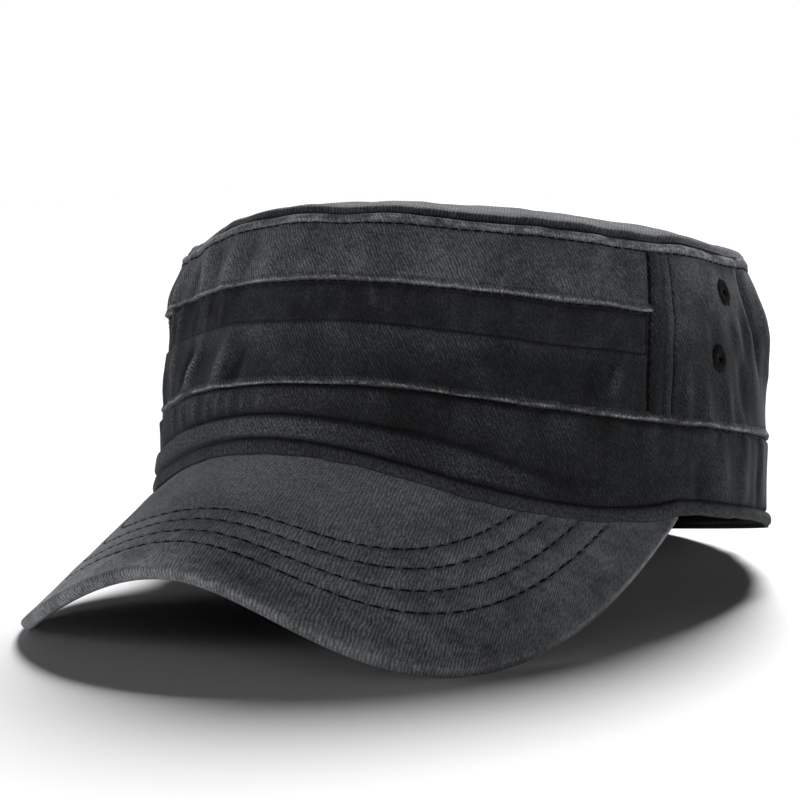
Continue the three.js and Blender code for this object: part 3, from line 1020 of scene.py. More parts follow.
@dataclass(frozen=True)
class Thread:
    """Black sewing thread, twisted from two plies.

    Attributes:
        slot: The finish of the record that it is.
        dark: Colour between the plies.
        pale: Colour on top of them.
        relief: Height of the plies, in mm.
    """

    slot: Slot = Slot.THREAD
    dark: Colour = (0.0018, 0.0019, 0.0022)
    pale: Colour = (0.007, 0.0073, 0.0083)
    relief: float = 0.06
    plies: ClassVar[Grain] = Grain(1500.0, 1.0, 0.35, 0.65)

    def material(self) -> bpy.types.Material:
        """Makes the material."""
        bench = NodeBench(self.slot.value)
        plies = bench.noise(bench.node("ShaderNodeTexCoord").outputs["Object"], self.plies)
        colour = bench.blend(plies, self.dark, self.pale)
        rough = bench.sum("MULTIPLY_ADD", plies, -0.15, 0.8)
        return bench.surface(plies, 0.6, self.relief, {
            "Base Color": colour, "Roughness": rough, "Specular IOR Level": 0.12, "Sheen Weight": 0.02})


FINISHES = (
    # fade darkens the crown and the worn edges low down: painted shade.
    Twill(Slot.CROWN, (0.004, 0.0043, 0.005), (0.18, 0.189, 0.203), (0.32, 0.33, 0.35), -63.0,
          pitch=0.88, grain=0.75, cloud=0.8, fade=0.8),
    Twill(Slot.WORN, (0.0045, 0.0048, 0.0056), (0.195, 0.204, 0.218), (0.48, 0.49, 0.51), -63.0,
          pitch=0.88, grain=0.75, cloud=0.8, fade=0.55),
    Twill(Slot.TUCK, (0.004, 0.0042, 0.005), (0.052, 0.0545, 0.06), (0.2, 0.208, 0.222), -63.0,
          sheen=0.05),
    Twill(Slot.EDGE, (0.005, 0.0053, 0.006), (0.045, 0.0472, 0.052), (0.1, 0.104, 0.112), -63.0,
          sheen=0.06, relief=0.06),
    # The peak's worn colour also colours the painted light on the middle of its face.
    Twill(Slot.PEAK, (0.01, 0.0105, 0.0118), (0.385, 0.4, 0.424), (0.56, 0.577, 0.602), -82.0,
          pitch=0.92, grain=0.45, cloud=0.8, sheen=0.12, relief=0.1),
    Twill(Slot.UNDER, (0.002, 0.0021, 0.0024), (0.009, 0.0094, 0.0106), (0.03, 0.0312, 0.034), -59.0,
          sheen=0.0),
    Twill(Slot.SWEATBAND, (0.003, 0.0032, 0.0036), (0.01, 0.0105, 0.0118), (0.03, 0.0312, 0.034), 90.0,
          pitch=1.1, sheen=0.0),
    Thread(),
)


@dataclass(frozen=True)
class StitchRun:
    """A row of stitches.

    Attributes:
        pitch: Distance from one stitch to the next, in mm.
        share: Share of the pitch that shows thread.
        radius: Radius of the thread, in mm.
        rise: How far a stitch stands above its ends, in mm.
        sink: How far below the cloth its ends lie, in mm.
        taper: Share of the radius at each ring of a stitch.
        jitter: How far a stitch strays, as a share of the pitch along the row and in mm across it.
    """

    pitch: float = 2.9
    share: float = 0.84
    radius: float = 0.24
    rise: float = 0.22
    sink: float = 0.16
    taper: ClassVar[tuple[float, ...]] = (0.55, 0.9, 1.0, 1.0, 0.9, 0.55)
    jitter: ClassVar[float] = 0.12

    def lines(self, path: Array, away: Array, seed: int) -> Array:
        """The centre lines of the stitches along a path on the cloth.

        Args:
            path: Points along the seam.
            away: The direction away from the cloth at each point.
            seed: Which unevenness the row has.

        Returns:
            Centre lines as stitches, rings and x, y, z.
        """
        length = arc(path)
        count = max(int(length[-1] / self.pitch), 1)
        random = np.random.default_rng(seed)
        jitter = random.uniform(-self.jitter, self.jitter, count) * self.pitch
        start = np.arange(count) * length[-1] / count + jitter
        ring = np.linspace(0, 1, len(self.taper))
        size = self.pitch * self.share * random.uniform(0.9, 1.06, count)
        at = np.clip(start[:, None] + size[:, None] * ring, 0, length[-1])
        points = np.stack([np.interp(at, length, path[:, axis]) for axis in range(3)], -1)
        out = np.stack([np.interp(at, length, away[:, axis]) for axis in range(3)], -1)
        side = np.cross(np.gradient(points, axis=1), out)
        side /= np.linalg.norm(side, axis=-1, keepdims=True) + 1e-9
        skew = random.uniform(-self.jitter, self.jitter, count)[:, None, None] * (ring - 0.5)[None, :, None]
        lift = self.rise * np.sin(math.pi * ring) - self.sink
        return points + out * lift[None, :, None] + side * skew

    def radii(self) -> Array:
        """Radius at each ring of a stitch."""
        return self.radius * np.array(self.taper)


@dataclass(frozen=True)
class WallRelief:
    """The small shapes of the washed cloth on the crown wall and the band."""

    shape: CrownShape
    folds: tuple[Fold, ...] = (
        Fold(-36.0, 58.0, 2.8, 8.0, 6, 1.0), Fold(-28.0, 58.5, 2.4, 8.0, 6, -0.6),
        Fold(-22.6, 58.0, 1.8, 8.0, 8, 0.9), Fold(-18.5, 58.0, 1.6, 7.0, 9, -0.5),
        Fold(-14.0, 56.0, 1.9, 8.0, 12, 0.7), Fold(-9.5, 57.0, 2.5, 8.0, 20, -0.45),
        Fold(-4.5, 56.0, 3.8, 7.0, 30, 0.6), Fold(-46.0, 58.0, 2.6, 8.0, 0, 0.8),
        Fold(28.0, 57.0, 6.0, 6.0, -40, 0.35), Fold(48.0, 58.0, 4.0, 7.0, -30, 0.35),
        Fold(-32.0, 28.0, 2.2, 8.0, 15, 0.8), Fold(-25.5, 29.0, 1.3, 7.0, 36, -0.8),
        Fold(-22.0, 27.5, 1.5, 7.5, 36, 1.1), Fold(-13.0, 27.0, 2.5, 8.0, 28, 0.7),
        Fold(-9.0, 25.0, 2.2, 8.0, 28, -0.8), Fold(-41.0, 28.0, 2.4, 8.0, 8, 0.7),
        Fold(4.0, 28.0, 4.0, 7.0, 24, 0.4), Fold(58.0, 29.0, 2.4, 7.0, 20, 0.6),
        Fold(53.0, 27.0, 2.4, 7.0, 14, -0.5), Fold(34.0, 28.0, 5.0, 6.0, -20, 0.3),
        Fold(-35.8, 42.5, 1.0, 5.0, 5, 0.6), Fold(-31.5, 42.0, 1.0, 5.0, 5, 0.6),
        Fold(-25.0, 42.0, 1.0, 5.0, 4, 0.6), Fold(-19.5, 42.0, 1.0, 4.5, 3, 0.5),
        Fold(-14.5, 41.5, 1.0, 4.5, 4, 0.45), Fold(5.0, 44.0, 0.9, 3.5, 8, 0.45),
        Fold(11.5, 43.0, 0.9, 4.0, 6, 0.4), Fold(16.5, 45.0, 0.9, 3.0, -6, 0.4),
        Fold(96.5, 57.0, 2.4, 13.0, -16, -1.0), Fold(104.0, 55.0, 4.6, 16.0, -18, 1.3),
        Fold(72.8, 27.0, 1.8, 7.0, 3, 0.6), Fold(77.5, 25.5, 2.2, 8.0, 2, 0.55),
        Fold(84.0, 26.0, 2.4, 8.0, 0, 0.5), Fold(90.0, 30.0, 2.6, 9.0, -4, -0.5),
        Fold(-96.0, 54.0, 2.8, 13.0, 14, -0.8), Fold(-104.0, 52.0, 4.4, 14.0, 16, 1.0),
        Fold(-78.0, 27.0, 2.2, 8.0, 0, 0.6), Fold(-88.0, 29.0, 2.6, 9.0, 6, -0.5),
        Fold(132.0, 40.0, 4.0, 14.0, 24, 0.9), Fold(150.0, 52.0, 4.0, 12.0, -26, -0.8),
        Fold(-128.0, 38.0, 4.0, 14.0, -24, 0.9), Fold(-152.0, 50.0, 4.2, 12.0, 22, -0.8),
        Fold(-60.0, 24.0, 34.0, 17.0, 0, -1.5), Fold(121.0, 34.0, 34.0, 34.0, 0, -1.3),
        Fold(170.0, 32.0, 3.4, 10.0, 12, 0.7), Fold(-168.0, 34.0, 3.4, 10.0, -14, 0.7))
    band_folds: tuple[Fold, ...] = (
        Fold(-30.0, 15.0, 1.1, 3.4, 24, 0.6), Fold(-25.0, 15.0, 1.1, 3.4, 24, 0.65),
        Fold(-20.0, 14.6, 1.0, 3.2, 24, 0.6), Fold(-16.2, 14.2, 1.0, 3.2, 22, 0.55),
        Fold(-12.8, 14.4, 1.0, 3.0, 20, 0.5), Fold(-9.8, 14.4, 1.0, 3.0, 18, 0.45),
        Fold(-6.5, 14.4, 1.0, 3.0, 14, 0.4), Fold(-2.8, 14.5, 1.0, 3.0, 10, 0.35),
        Fold(81.2, 9.5, 3.0, 6.0, 0, 0.5), Fold(75.0, 6.0, 3.0, 6.0, 0, -0.4),
        Fold(88.0, 8.0, 3.0, 6.0, 4, 0.5), Fold(96.0, 8.0, 2.6, 7.0, 6, -0.5),
        Fold(-84.0, 8.0, 3.4, 6.0, 4, 0.5), Fold(120.0, 7.0, 4.0, 7.0, -8, 0.5),
        Fold(146.0, 8.0, 4.0, 7.0, 10, -0.5), Fold(-126.0, 7.0, 4.0, 7.0, 8, 0.5),
        Fold(-60.0, 14.0, 34.0, 10.0, 0, -1.2), Fold(120.0, 8.0, 36.0, 34.0, 0, -1.35),
        Fold(-156.0, 7.0, 4.0, 7.0, -6, 0.5), Fold(168.0, 7.0, 4.0, 7.0, 6, 0.5))
    puckers: tuple[Pucker, ...] = (
        Pucker(66.3, 2.0, 7.0, 6.5, 0.6), Pucker(47.9, 5.0, 8.0, 5.2, 0.66),
        Pucker(37.0, 4.0, 5.5, 6.5, 0.42), Pucker(20.6, 5.5, 2.0, 7.0, 0.42))
    band_puckers: tuple[Pucker, ...] = (Pucker(18.5, 2.0, 5.5, 5.4, 0.5), Pucker(1.0, 3.5, 2.0, 8.0, 0.26))
    ripples: tuple[Ripple, ...] = (Ripple(3, 0.6, 34.0), Ripple(5, 0.42, 13.0), Ripple(7, 0.15, 5.5))
    ripple_rises: tuple[float, ...] = (30.0, 17.0, 8.0)
    strength: float = 1.8

    def out(self, turn: Array, height: Array, band: bool = False) -> Array:
        """How far the cloth stands out from the plain wall.

        Args:
            turn: Turn from the front.
            height: Height above the rim plane.
            band: Whether it is the band, and not the wall above it.

        Returns:
            Distances outwards.
        """
        turn, height = np.broadcast_arrays(np.asarray(turn, float), height)
        x, y = self.shape.plan(turn, 1.0, 0.0)
        out = sum(ripple.at(x, y, height / rise) for ripple, rise in zip(self.ripples, self.ripple_rises))
        calm = 0.55 + 0.45 * ease(np.abs(signed(turn)), 8, 40)
        for number, row in enumerate(self.band_puckers if band else self.puckers):
            rise = height - row.height
            held = np.where(rise > 0, np.exp(-np.abs(rise) / row.above), np.exp(-np.abs(rise) / row.below))
            noise = ClothNoise(11 + number + 10 * band).at(x / row.wave, y / row.wave, height / 14)
            out = out + row.depth * held * calm * np.sign(noise) * np.abs(noise) ** 0.8 * 1.5
        for fold in self.band_folds if band else self.folds:
            along = self.shape.length(signed(turn - fold.turn))
            rise = height - fold.height
            tilt = math.radians(fold.tilt)
            across = along * math.cos(tilt) - rise * math.sin(tilt)
            length = along * math.sin(tilt) + rise * math.cos(tilt)
            out = out + fold.out * self.strength * bell(across, fold.width) * bell(length, fold.length)
        return out

    def stitches(self, runs: StitchRun, turn: Array, height: Array, out: float, seed: int) -> Array:
        """The centre lines of a row of stitches on the wall.

        Args:
            runs: The kind of stitches.
            turn: Turn at each point of the row.
            height: Height at each point.
            out: How far the stitched cloth stands out.
            seed: Which unevenness the row has.

        Returns:
            Centre lines as stitches, rings and x, y, z.
        """
        stands = self.out(turn, height) + out
        path = self.shape.wall(turn, height, stands)
        return runs.lines(path, self.shape.wall(turn, height, stands + 1) - path, seed)


@dataclass(frozen=True)
class WallLine:
    """A line up the wall, beside the middle of a side seam or upright.

    Attributes:
        shape: The crown's form.
        offset: Turn from the middle of the left side seam, or from the front for an upright line.
        upright: Whether it stands upright, and doesn't lean with the side seam.
        sign: -1 for its mirror image on the wearer's right.
    """

    shape: CrownShape
    offset: float
    upright: bool = False
    sign: int = 1

    def at(self, height: Array) -> Array:
        """The line's turn at a height."""
        middle = 0 * height if self.upright else self.shape.seam_centre(height)
        return self.sign * (middle + self.offset)


@dataclass(frozen=True)
class Holes:
    """Round holes through the cloth.

    Attributes:
        middles: Their middles.
        radius: Their radius, in mm.
    """

    middles: tuple[Array, ...]
    radius: float

    def clear_of(self, points: Array) -> Array:
        """Which points lie outside every hole."""
        return np.min([np.linalg.norm(points - m, axis=1) for m in self.middles], 0) > self.radius


@dataclass
class CrownWall:
    """The crown wall: front panels, tuck, side seams, side panels and back seam."""

    shape: CrownShape
    bench: Workbench
    relief: WallRelief
    step: float = 0.95
    tuck_in: float = 0.75
    tuck_reach: float = 0.55
    overlap: float = 0.25
    seam_proud: float = 0.5
    tuck_sunk: float = 0.6
    groove: float = 0.62
    groove_width: float = 0.6
    side_grooves: tuple[float, float, float] = (-4.2, 0.5, 4.3)
    side_shade: float = 0.62
    back_grooves: tuple[float, float] = (-1.9, 1.9)
    eyelet_bore: float = 3.1
    upper_wear: float = 0.03
    side_wear: float = 0.05
    back_seam_wear: float = 0.06
    side_seam_wear: float = 0.08
    seam_shade: float = 0.9
    groove_shade: float = 0.95
    crest_from: float = 0.3
    crest_paling: float = 0.42
    crest_most: float = 0.7
    hollow_from: float = 0.15
    hollow_shade: float = 0.5
    hollow_most: float = 0.55
    inner_rows: int = 6
    row_end: float = 0.6
    side_row_points: int = 90
    back_row_points: int = 80
    runs: StitchRun = StitchRun()

    @property
    def span(self) -> tuple[float, float]:
        """Heights between which the panels and seams of the sides and the back run."""
        return self.shape.band_fold_height + self.shape.fold_width, self.shape.roll_height

    def panel(self, span: tuple[float, float], early: WallLine, late: WallLine, proud: float = 0.0,
              grooves: Sequence[float] = (), wear: float = 0.0) -> Skin:
        """One cloth panel of the wall between two seams.

        Args:
            span: Heights of its lower and upper edge.
            early: Its first edge.
            late: Its last edge.
            proud: How far it stands out.
            grooves: Stitched grooves along it, as distances from its middle.
            wear: How worn it is.

        Returns:
            The panel's skin.
        """
        low, high = span
        height, inside = both_sides(spaced(low - self.overlap, high + self.overlap, self.step),
                                    np.linspace(high, low, self.inner_rows))
        middle = (low + high) / 2
        width = float(self.shape.length(late.at(middle) - early.at(middle)))
        across = spaced(-self.overlap, width + self.overlap, min(self.step, width / 10)) / width
        turn = early.at(height) + (late.at(height) - early.at(height)) * across[None, :]
        relief = self.relief.out(turn, height)
        sideways = np.minimum(across, 1 - across)[None, :] * width
        upright = np.minimum(height - low, high - height)
        near = np.maximum(np.minimum(sideways, upright) + self.overlap, 0)
        seam = bell(near, self.tuck_reach)
        out = proud + relief - self.tuck_in * seam
        # Painted shade: darker where the cloth turns in at the seams, in the stitched grooves and in the
        # hollows of the folds.
        painted_shade = self.seam_shade * seam
        place = (across[None, :] - 0.5) * width + 0 * height
        for groove in grooves:
            dip = bell(place - groove, self.groove_width)
            out = out - self.groove * dip
            painted_shade = np.maximum(painted_shade, self.groove_shade * dip)
        out = np.where(inside, proud + relief - self.shape.cloth - self.tuck_in, out)
        # Paler on the crests of the folds.
        crest = np.clip((relief - self.crest_from) * self.crest_paling, 0, self.crest_most) * (1 - seam)
        hollow = (-relief - self.hollow_from) * self.hollow_shade
        painted_shade = np.maximum(painted_shade, np.clip(hollow, 0, self.hollow_most))
        points = self.shape.wall(turn, height, out)
        return Skin.of(points, self.shape.length(turn), height, wear + crest, painted_shade)

    def edge(self, towards_back: int, sign: int = 1) -> WallLine:
        """An edge of a side seam."""
        return WallLine(self.shape, towards_back * self.shape.degrees(self.shape.seam_width / 2), sign=sign)

    def front(self) -> None:
        """Makes the two front panels and the strip between them."""
        shape = self.shape
        low, high = self.span
        for name, span, slot, proud, wear in (
                ("front_upper_panel", (shape.upper_fold_height + shape.fold_width, high), Slot.CROWN,
                 0.0, self.upper_wear),
                ("tuck_strip", (shape.tuck_height, shape.upper_fold_height), Slot.TUCK, -self.tuck_sunk, 0.0),
                ("front_lower_panel", (low, shape.tuck_height), Slot.CROWN, 0.0, 0.0)):
            skin = self.panel(span, self.edge(-1, -1), self.edge(-1), proud, wear=wear)
            self.bench.skin_piece(name, skin, slot)

    def side(self, side: Side) -> None:
        """Makes the seam and the panel of one side.

        Args:
            side: The side.
        """
        shape, sign = self.shape, side.value
        first, last = self.edge(-1, sign), self.edge(1, sign)
        grooves = tuple(sign * g for g in self.side_grooves)
        seam = self.panel(self.span, *[first, last][::sign], self.seam_proud, grooves, self.side_seam_wear)
        # Painted shade over the front part of the side seam's strip.
        behind = seam.cloth[..., 0] * sign - shape.length(shape.seam_centre(seam.cloth[..., 1]))
        front_strip = 1 - ease(behind, self.side_grooves[1] - 0.4, self.side_grooves[1])
        seam.painted_shade = np.maximum(seam.painted_shade, self.side_shade * front_strip)
        self.bench.skin_piece(f"side_seam_{side.word}", seam, Slot.CROWN)
        back = WallLine(shape, 180 - shape.degrees(shape.back_seam_width / 2), upright=True, sign=sign)
        panel = self.panel(self.span, *[last, back][::sign], wear=self.side_wear)
        middles = tuple(self.eyelet_seat(side, height)[0] for height in Eyelets.heights)
        holes = Holes(middles, self.eyelet_bore)
        self.bench.skin_piece(f"side_panel_{side.word}", panel, Slot.CROWN, kept=holes.clear_of)
        self._rows(f"seam_stitches_{side.word}", self.side_grooves, WallLine(shape, 0.0, sign=sign),
                   self.side_row_points, 20 + sign)

    def _rows(self, name: str, grooves: Sequence[float], middle: WallLine, points: int, seed: int) -> None:
        """Makes the rows of stitches in the grooves of an upright seam.

        Args:
            name: The name of the piece.
            grooves: Distances of the rows from the seam's middle.
            middle: The seam's middle.
            points: Points along a row.
            seed: Which unevenness the first row has.
        """
        low, high = self.span
        height = np.linspace(low + self.row_end, high - self.row_end, points)
        out = self.seam_proud - self.groove
        lines = []
        for number, groove in enumerate(grooves):
            row = replace(middle, offset=middle.offset + math.degrees(groove / self.shape.half_length))
            lines.append(self.relief.stitches(self.runs, row.at(height), height, out, seed + number))
        self.bench.threads(name, np.concatenate(lines), self.runs.radii())

    def eyelet_seat(self, side: Side, height: float) -> tuple[Array, Array]:
        """Where an eyelet sits in a side panel.

        Args:
            side: The side that it is on.
            height: Its height on the wall.

        Returns:
            Its middle on the wall, and the direction away from the cloth.
        """
        turn = side.value * (Eyelets.turn + Eyelets.lean * height / self.shape.crown_height)
        point = self.shape.wall(turn, height, 0.0)
        along = self.shape.wall(turn + 2, height, 0.0) - self.shape.wall(turn - 2, height, 0.0)
        up = self.shape.wall(turn, height + 2, 0.0) - self.shape.wall(turn, height - 2, 0.0)
        away = np.cross(along, up)
        relief = float(self.relief.out(turn, height))
        away = away / np.linalg.norm(away)
        return point + away * relief, away

    def back(self) -> None:
        """Makes the seam at the back with its two rows of stitches."""
        half = self.shape.degrees(self.shape.back_seam_width / 2)
        early, late = (WallLine(self.shape, 180 + offset, upright=True) for offset in (-half, half))
        skin = self.panel(self.span, early, late, self.seam_proud, self.back_grooves, self.back_seam_wear)
        self.bench.skin_piece("back_seam", skin, Slot.CROWN)
        self._rows("back_seam_stitches", self.back_grooves, WallLine(self.shape, 180.0, upright=True),
                   self.back_row_points, 40)

    def build(self) -> None:
        """Makes the whole wall."""
        self.front()
        for side in Side:
            self.side(side)
        self.back()


@dataclass
class Eyelets:
    """The stitched eyelets of the side panels."""

    wall: CrownWall
    bench: Workbench
    radius: float = 3.8
    bore: float = 0.8
    crest: float = 0.4
    thread: float = 0.24
    thread_sunk: float = 0.12
    taper: tuple[float, ...] = (0.8, 1, 1, 1, 1, 1, 0.9, 0.6)
    sides: int = 48
    stitches: int = 30
    names: tuple[str, str] = ("lower", "upper")
    heights: ClassVar[tuple[float, float]] = (38.5, 58.0)
    turn: ClassVar[float] = 74.0
    lean: ClassVar[float] = 14.3

    def build(self, side: Side) -> None:
        """Makes both eyelets of a side.

        Args:
            side: The side.
        """
        for name, height in zip(self.names, self.heights):
            seat, away = self.wall.eyelet_seat(side, height)
            right = np.cross([0.0, 0.0, 1.0], away)
            right /= np.linalg.norm(right)
            up = np.cross(away, right)
            node = f"eyelet_{name}_{side.word}"
            self._ring(node, seat, (right, up, away))
            self._stitches(node, seat, (right, up, away), int(height))

    def _ring(self, node: str, seat: Array, axes: tuple[Array, Array, Array]) -> None:
        """Makes the padded ring through the cloth.

        Args:
            node: The solid node that it stands for.
            seat: Its middle.
            axes: The directions to its right, up and away from the cloth.
        """
        angle = np.arange(self.sides) * 2 * math.pi / self.sides
        bore, edge = self.bore, self.radius
        reach = (bore + 0.1, bore + 0.7, bore + 0.9, edge - 0.1, edge - 0.3, edge - 0.9, bore + 0.7,
                 bore + 0.25, bore)
        rise = (-3.6, -3.6, -0.6, -0.35, 0.1, 0.42, 0.46, 0.15, -0.6)
        right, up, away = axes
        spoke = np.cos(angle)[:, None] * right + np.sin(angle)[:, None] * up
        points = np.stack([seat + spoke * radius + away * out for radius, out in zip(reach, rise)])
        skin = Skin.of(points, angle * self.radius, np.arange(len(points))[:, None], 0.0, 1.0)
        self.bench.skin_piece(node, skin, Slot.THREAD, ring=True, length=2 * math.pi * self.radius)

    def _stitches(self, node: str, seat: Array, axes: tuple[Array, Array, Array], seed: int) -> None:
        """Makes the stitches that lie across the ring.

        Args:
            node: The name of the ring.
            seat: Its middle.
            axes: The directions to its right, up and away from the cloth.
            seed: Which unevenness they have.
        """
        random = np.random.default_rng(seed)
        angle = np.arange(self.stitches) * 2 * math.pi / self.stitches
        angle = angle + random.uniform(-0.03, 0.03, self.stitches)
        right, up, away = axes
        spoke = np.cos(angle)[:, None] * right + np.sin(angle)[:, None] * up
        ring = np.linspace(0, 1, len(self.taper))
        reach = self.radius + random.uniform(-0.1, 0.35, self.stitches)
        radius = (self.bore - 0.1) + (reach[:, None] - self.bore + 0.1) * ring
        out = self.crest * np.sin(math.pi * np.clip(ring * 0.92 + 0.08, 0, 1)) - self.thread_sunk
        lines = seat + spoke[:, None] * radius[..., None] + away * out[None, :, None]
        self.bench.threads(f"{node}_stitches", lines, self.thread * np.array(self.taper))


@dataclass(frozen=True)
class TurnedEdge:
    """A turned edge and the row of stitches beside it.

    Attributes:
        name: Its name, which is its solid node's too.
        row: The name of its row of stitches.
        low: Height of its lower side.
        section: Its section.
        seed: Which unevenness it has; the row's is one higher.
        wander: How far it wanders up and down, in mm.
        row_rise: Height of the row above the lower side, in mm.
        row_out: How far the row lies out from the wall, in mm.
        worn: How worn it is.
        ring: Whether it goes all round.
    """

    name: str
    row: str
    low: float
    section: Profile
    seed: int
    wander: float
    row_rise: float
    row_out: float
    worn: float = 1.0
    ring: bool = True


@dataclass
class Folds:
    """The turned edges that stand proud: over the tuck, over the band and at the top."""

    shape: CrownShape
    bench: Workbench
    relief: WallRelief
    runs: StitchRun = StitchRun()
    proud: float = 0.85
    end_turn: float = 3.5
    end_share: float = 0.1
    step: float = 0.8
    back_in: float = -2.2
    lumps: tuple[Ripple, Ripple] = (Ripple(0, 0.26, 2.2), Ripple(1, 0.24, 7.0))
    wander_run: float = 15.0
    rubbed_run: float = 1.6
    section: Profile = Profile(
        level=(-0.4, -0.25, 0.3, 0.75, 0.95, 1.05, 1.25, 1.5, 1.8, 2.1, 2.5, 2.95, 3.3, 3.4),
        out=(-1.5, -1.05, -0.95, -0.85, -0.3, 0.25, 0.58, 0.66, 0.55, 0.38, 0.2, 0.08, -0.25, -1.2))
    roll_section: Profile = Profile(
        level=(-0.5, -0.35, -0.1, 0.2, 0.5, 0.95, 1.45, 1.9, 2.25, 2.5, 2.6, 2.5),
        out=(-1.5, -0.8, -0.3, 0.2, 0.5, 0.68, 0.7, 0.56, 0.25, -0.2, -0.9, -1.8))

    def _strip(self, edge: TurnedEdge, section: Profile, turn: Array) -> tuple[Array, Array, Array]:
        """The grid of a turned edge.

        Args:
            edge: The edge.
            section: Its closed section.
            turn: Turn at each column.

        Returns:
            The points, the heights and how worn the edge is.
        """
        level, out = section.columns()
        turn = np.broadcast_to(turn, (len(level), len(turn)))
        x, y = self.shape.plan(turn, 1.0, 0.0)
        lump = sum(replace(ripple, seed=edge.seed + ripple.seed).at(x, y) for ripple in self.lumps)
        rubbed = Ripple(edge.seed + 3, 1.0, self.rubbed_run).at(x, y, level)
        fade = np.clip(out + 0.4, 0, 1)
        ends = 1.0 if edge.ring else ease(np.abs(turn[:1, :1]) - np.abs(turn), 0.0, self.end_turn)
        height = edge.low + level + Ripple(edge.seed + 2, edge.wander, self.wander_run).at(x, y) * fade
        stands = out * self.proud + lump * fade
        stands = np.where(stands > 0, stands * ends, stands) + self.relief.out(turn, height)
        wear = np.clip(out * 1.55, 0, 1) ** 3 * (0.6 + 1.2 * lump + 0.6 * rubbed)
        return self.shape.wall(turn, height, stands), height, np.clip(wear, 0, 1)

    def _edge(self, edge: TurnedEdge, turn: Array) -> None:
        """Makes one turned edge.

        Args:
            edge: The edge.
            turn: Turn at each column.
        """
        closed = edge.section.closed(self.back_in)
        points, height, wear = self._strip(edge, closed, turn)
        # Painted shade where the section lies behind the face of the wall, under and behind the turned edge.
        skin = Skin.of(points, self.shape.length(turn), height, wear * edge.worn,
                       np.clip(-closed.columns()[1], 0, 1))
        self.bench.skin_piece(edge.name, skin, Slot.WORN, ring=edge.ring, length=self.shape.girth)

    def build(self) -> None:
        """Makes the three turned edges and the rows of stitches beside them."""
        shape = self.shape
        edges = (TurnedEdge("upper_fold", "upper_fold_stitches", shape.upper_fold_height, self.section,
                            seed=51, wander=0.35, row_rise=0.5, row_out=-0.75, ring=False),
                 TurnedEdge("band_fold", "band_fold_stitches", shape.band_fold_height, self.section,
                            seed=61, wander=0.35, row_rise=0.5, row_out=-0.75),
                 TurnedEdge("top_seam_roll", "roll_stitches", shape.roll_height, self.roll_section,
                            seed=71, wander=0.8, row_rise=-0.25, row_out=-0.15, worn=0.9))
        half = shape.degrees(shape.seam_width / 2)
        end = float(shape.seam_centre(np.array(shape.upper_fold_height))) - half * self.end_share
        front = np.linspace(-end, end, int(float(shape.length(np.array(2 * end))) / self.step))
        around = shape.around(self.step)
        for edge in edges:
            self._edge(edge, around if edge.ring else front)
        for edge in edges:
            turn = np.append(around, 180.0) if edge.ring else front
            height = edge.low + edge.row_rise + 0 * turn
            lines = self.relief.stitches(self.runs, turn, height, edge.row_out, edge.seed + 1)
            self.bench.threads(edge.row, lines, self.runs.radii())


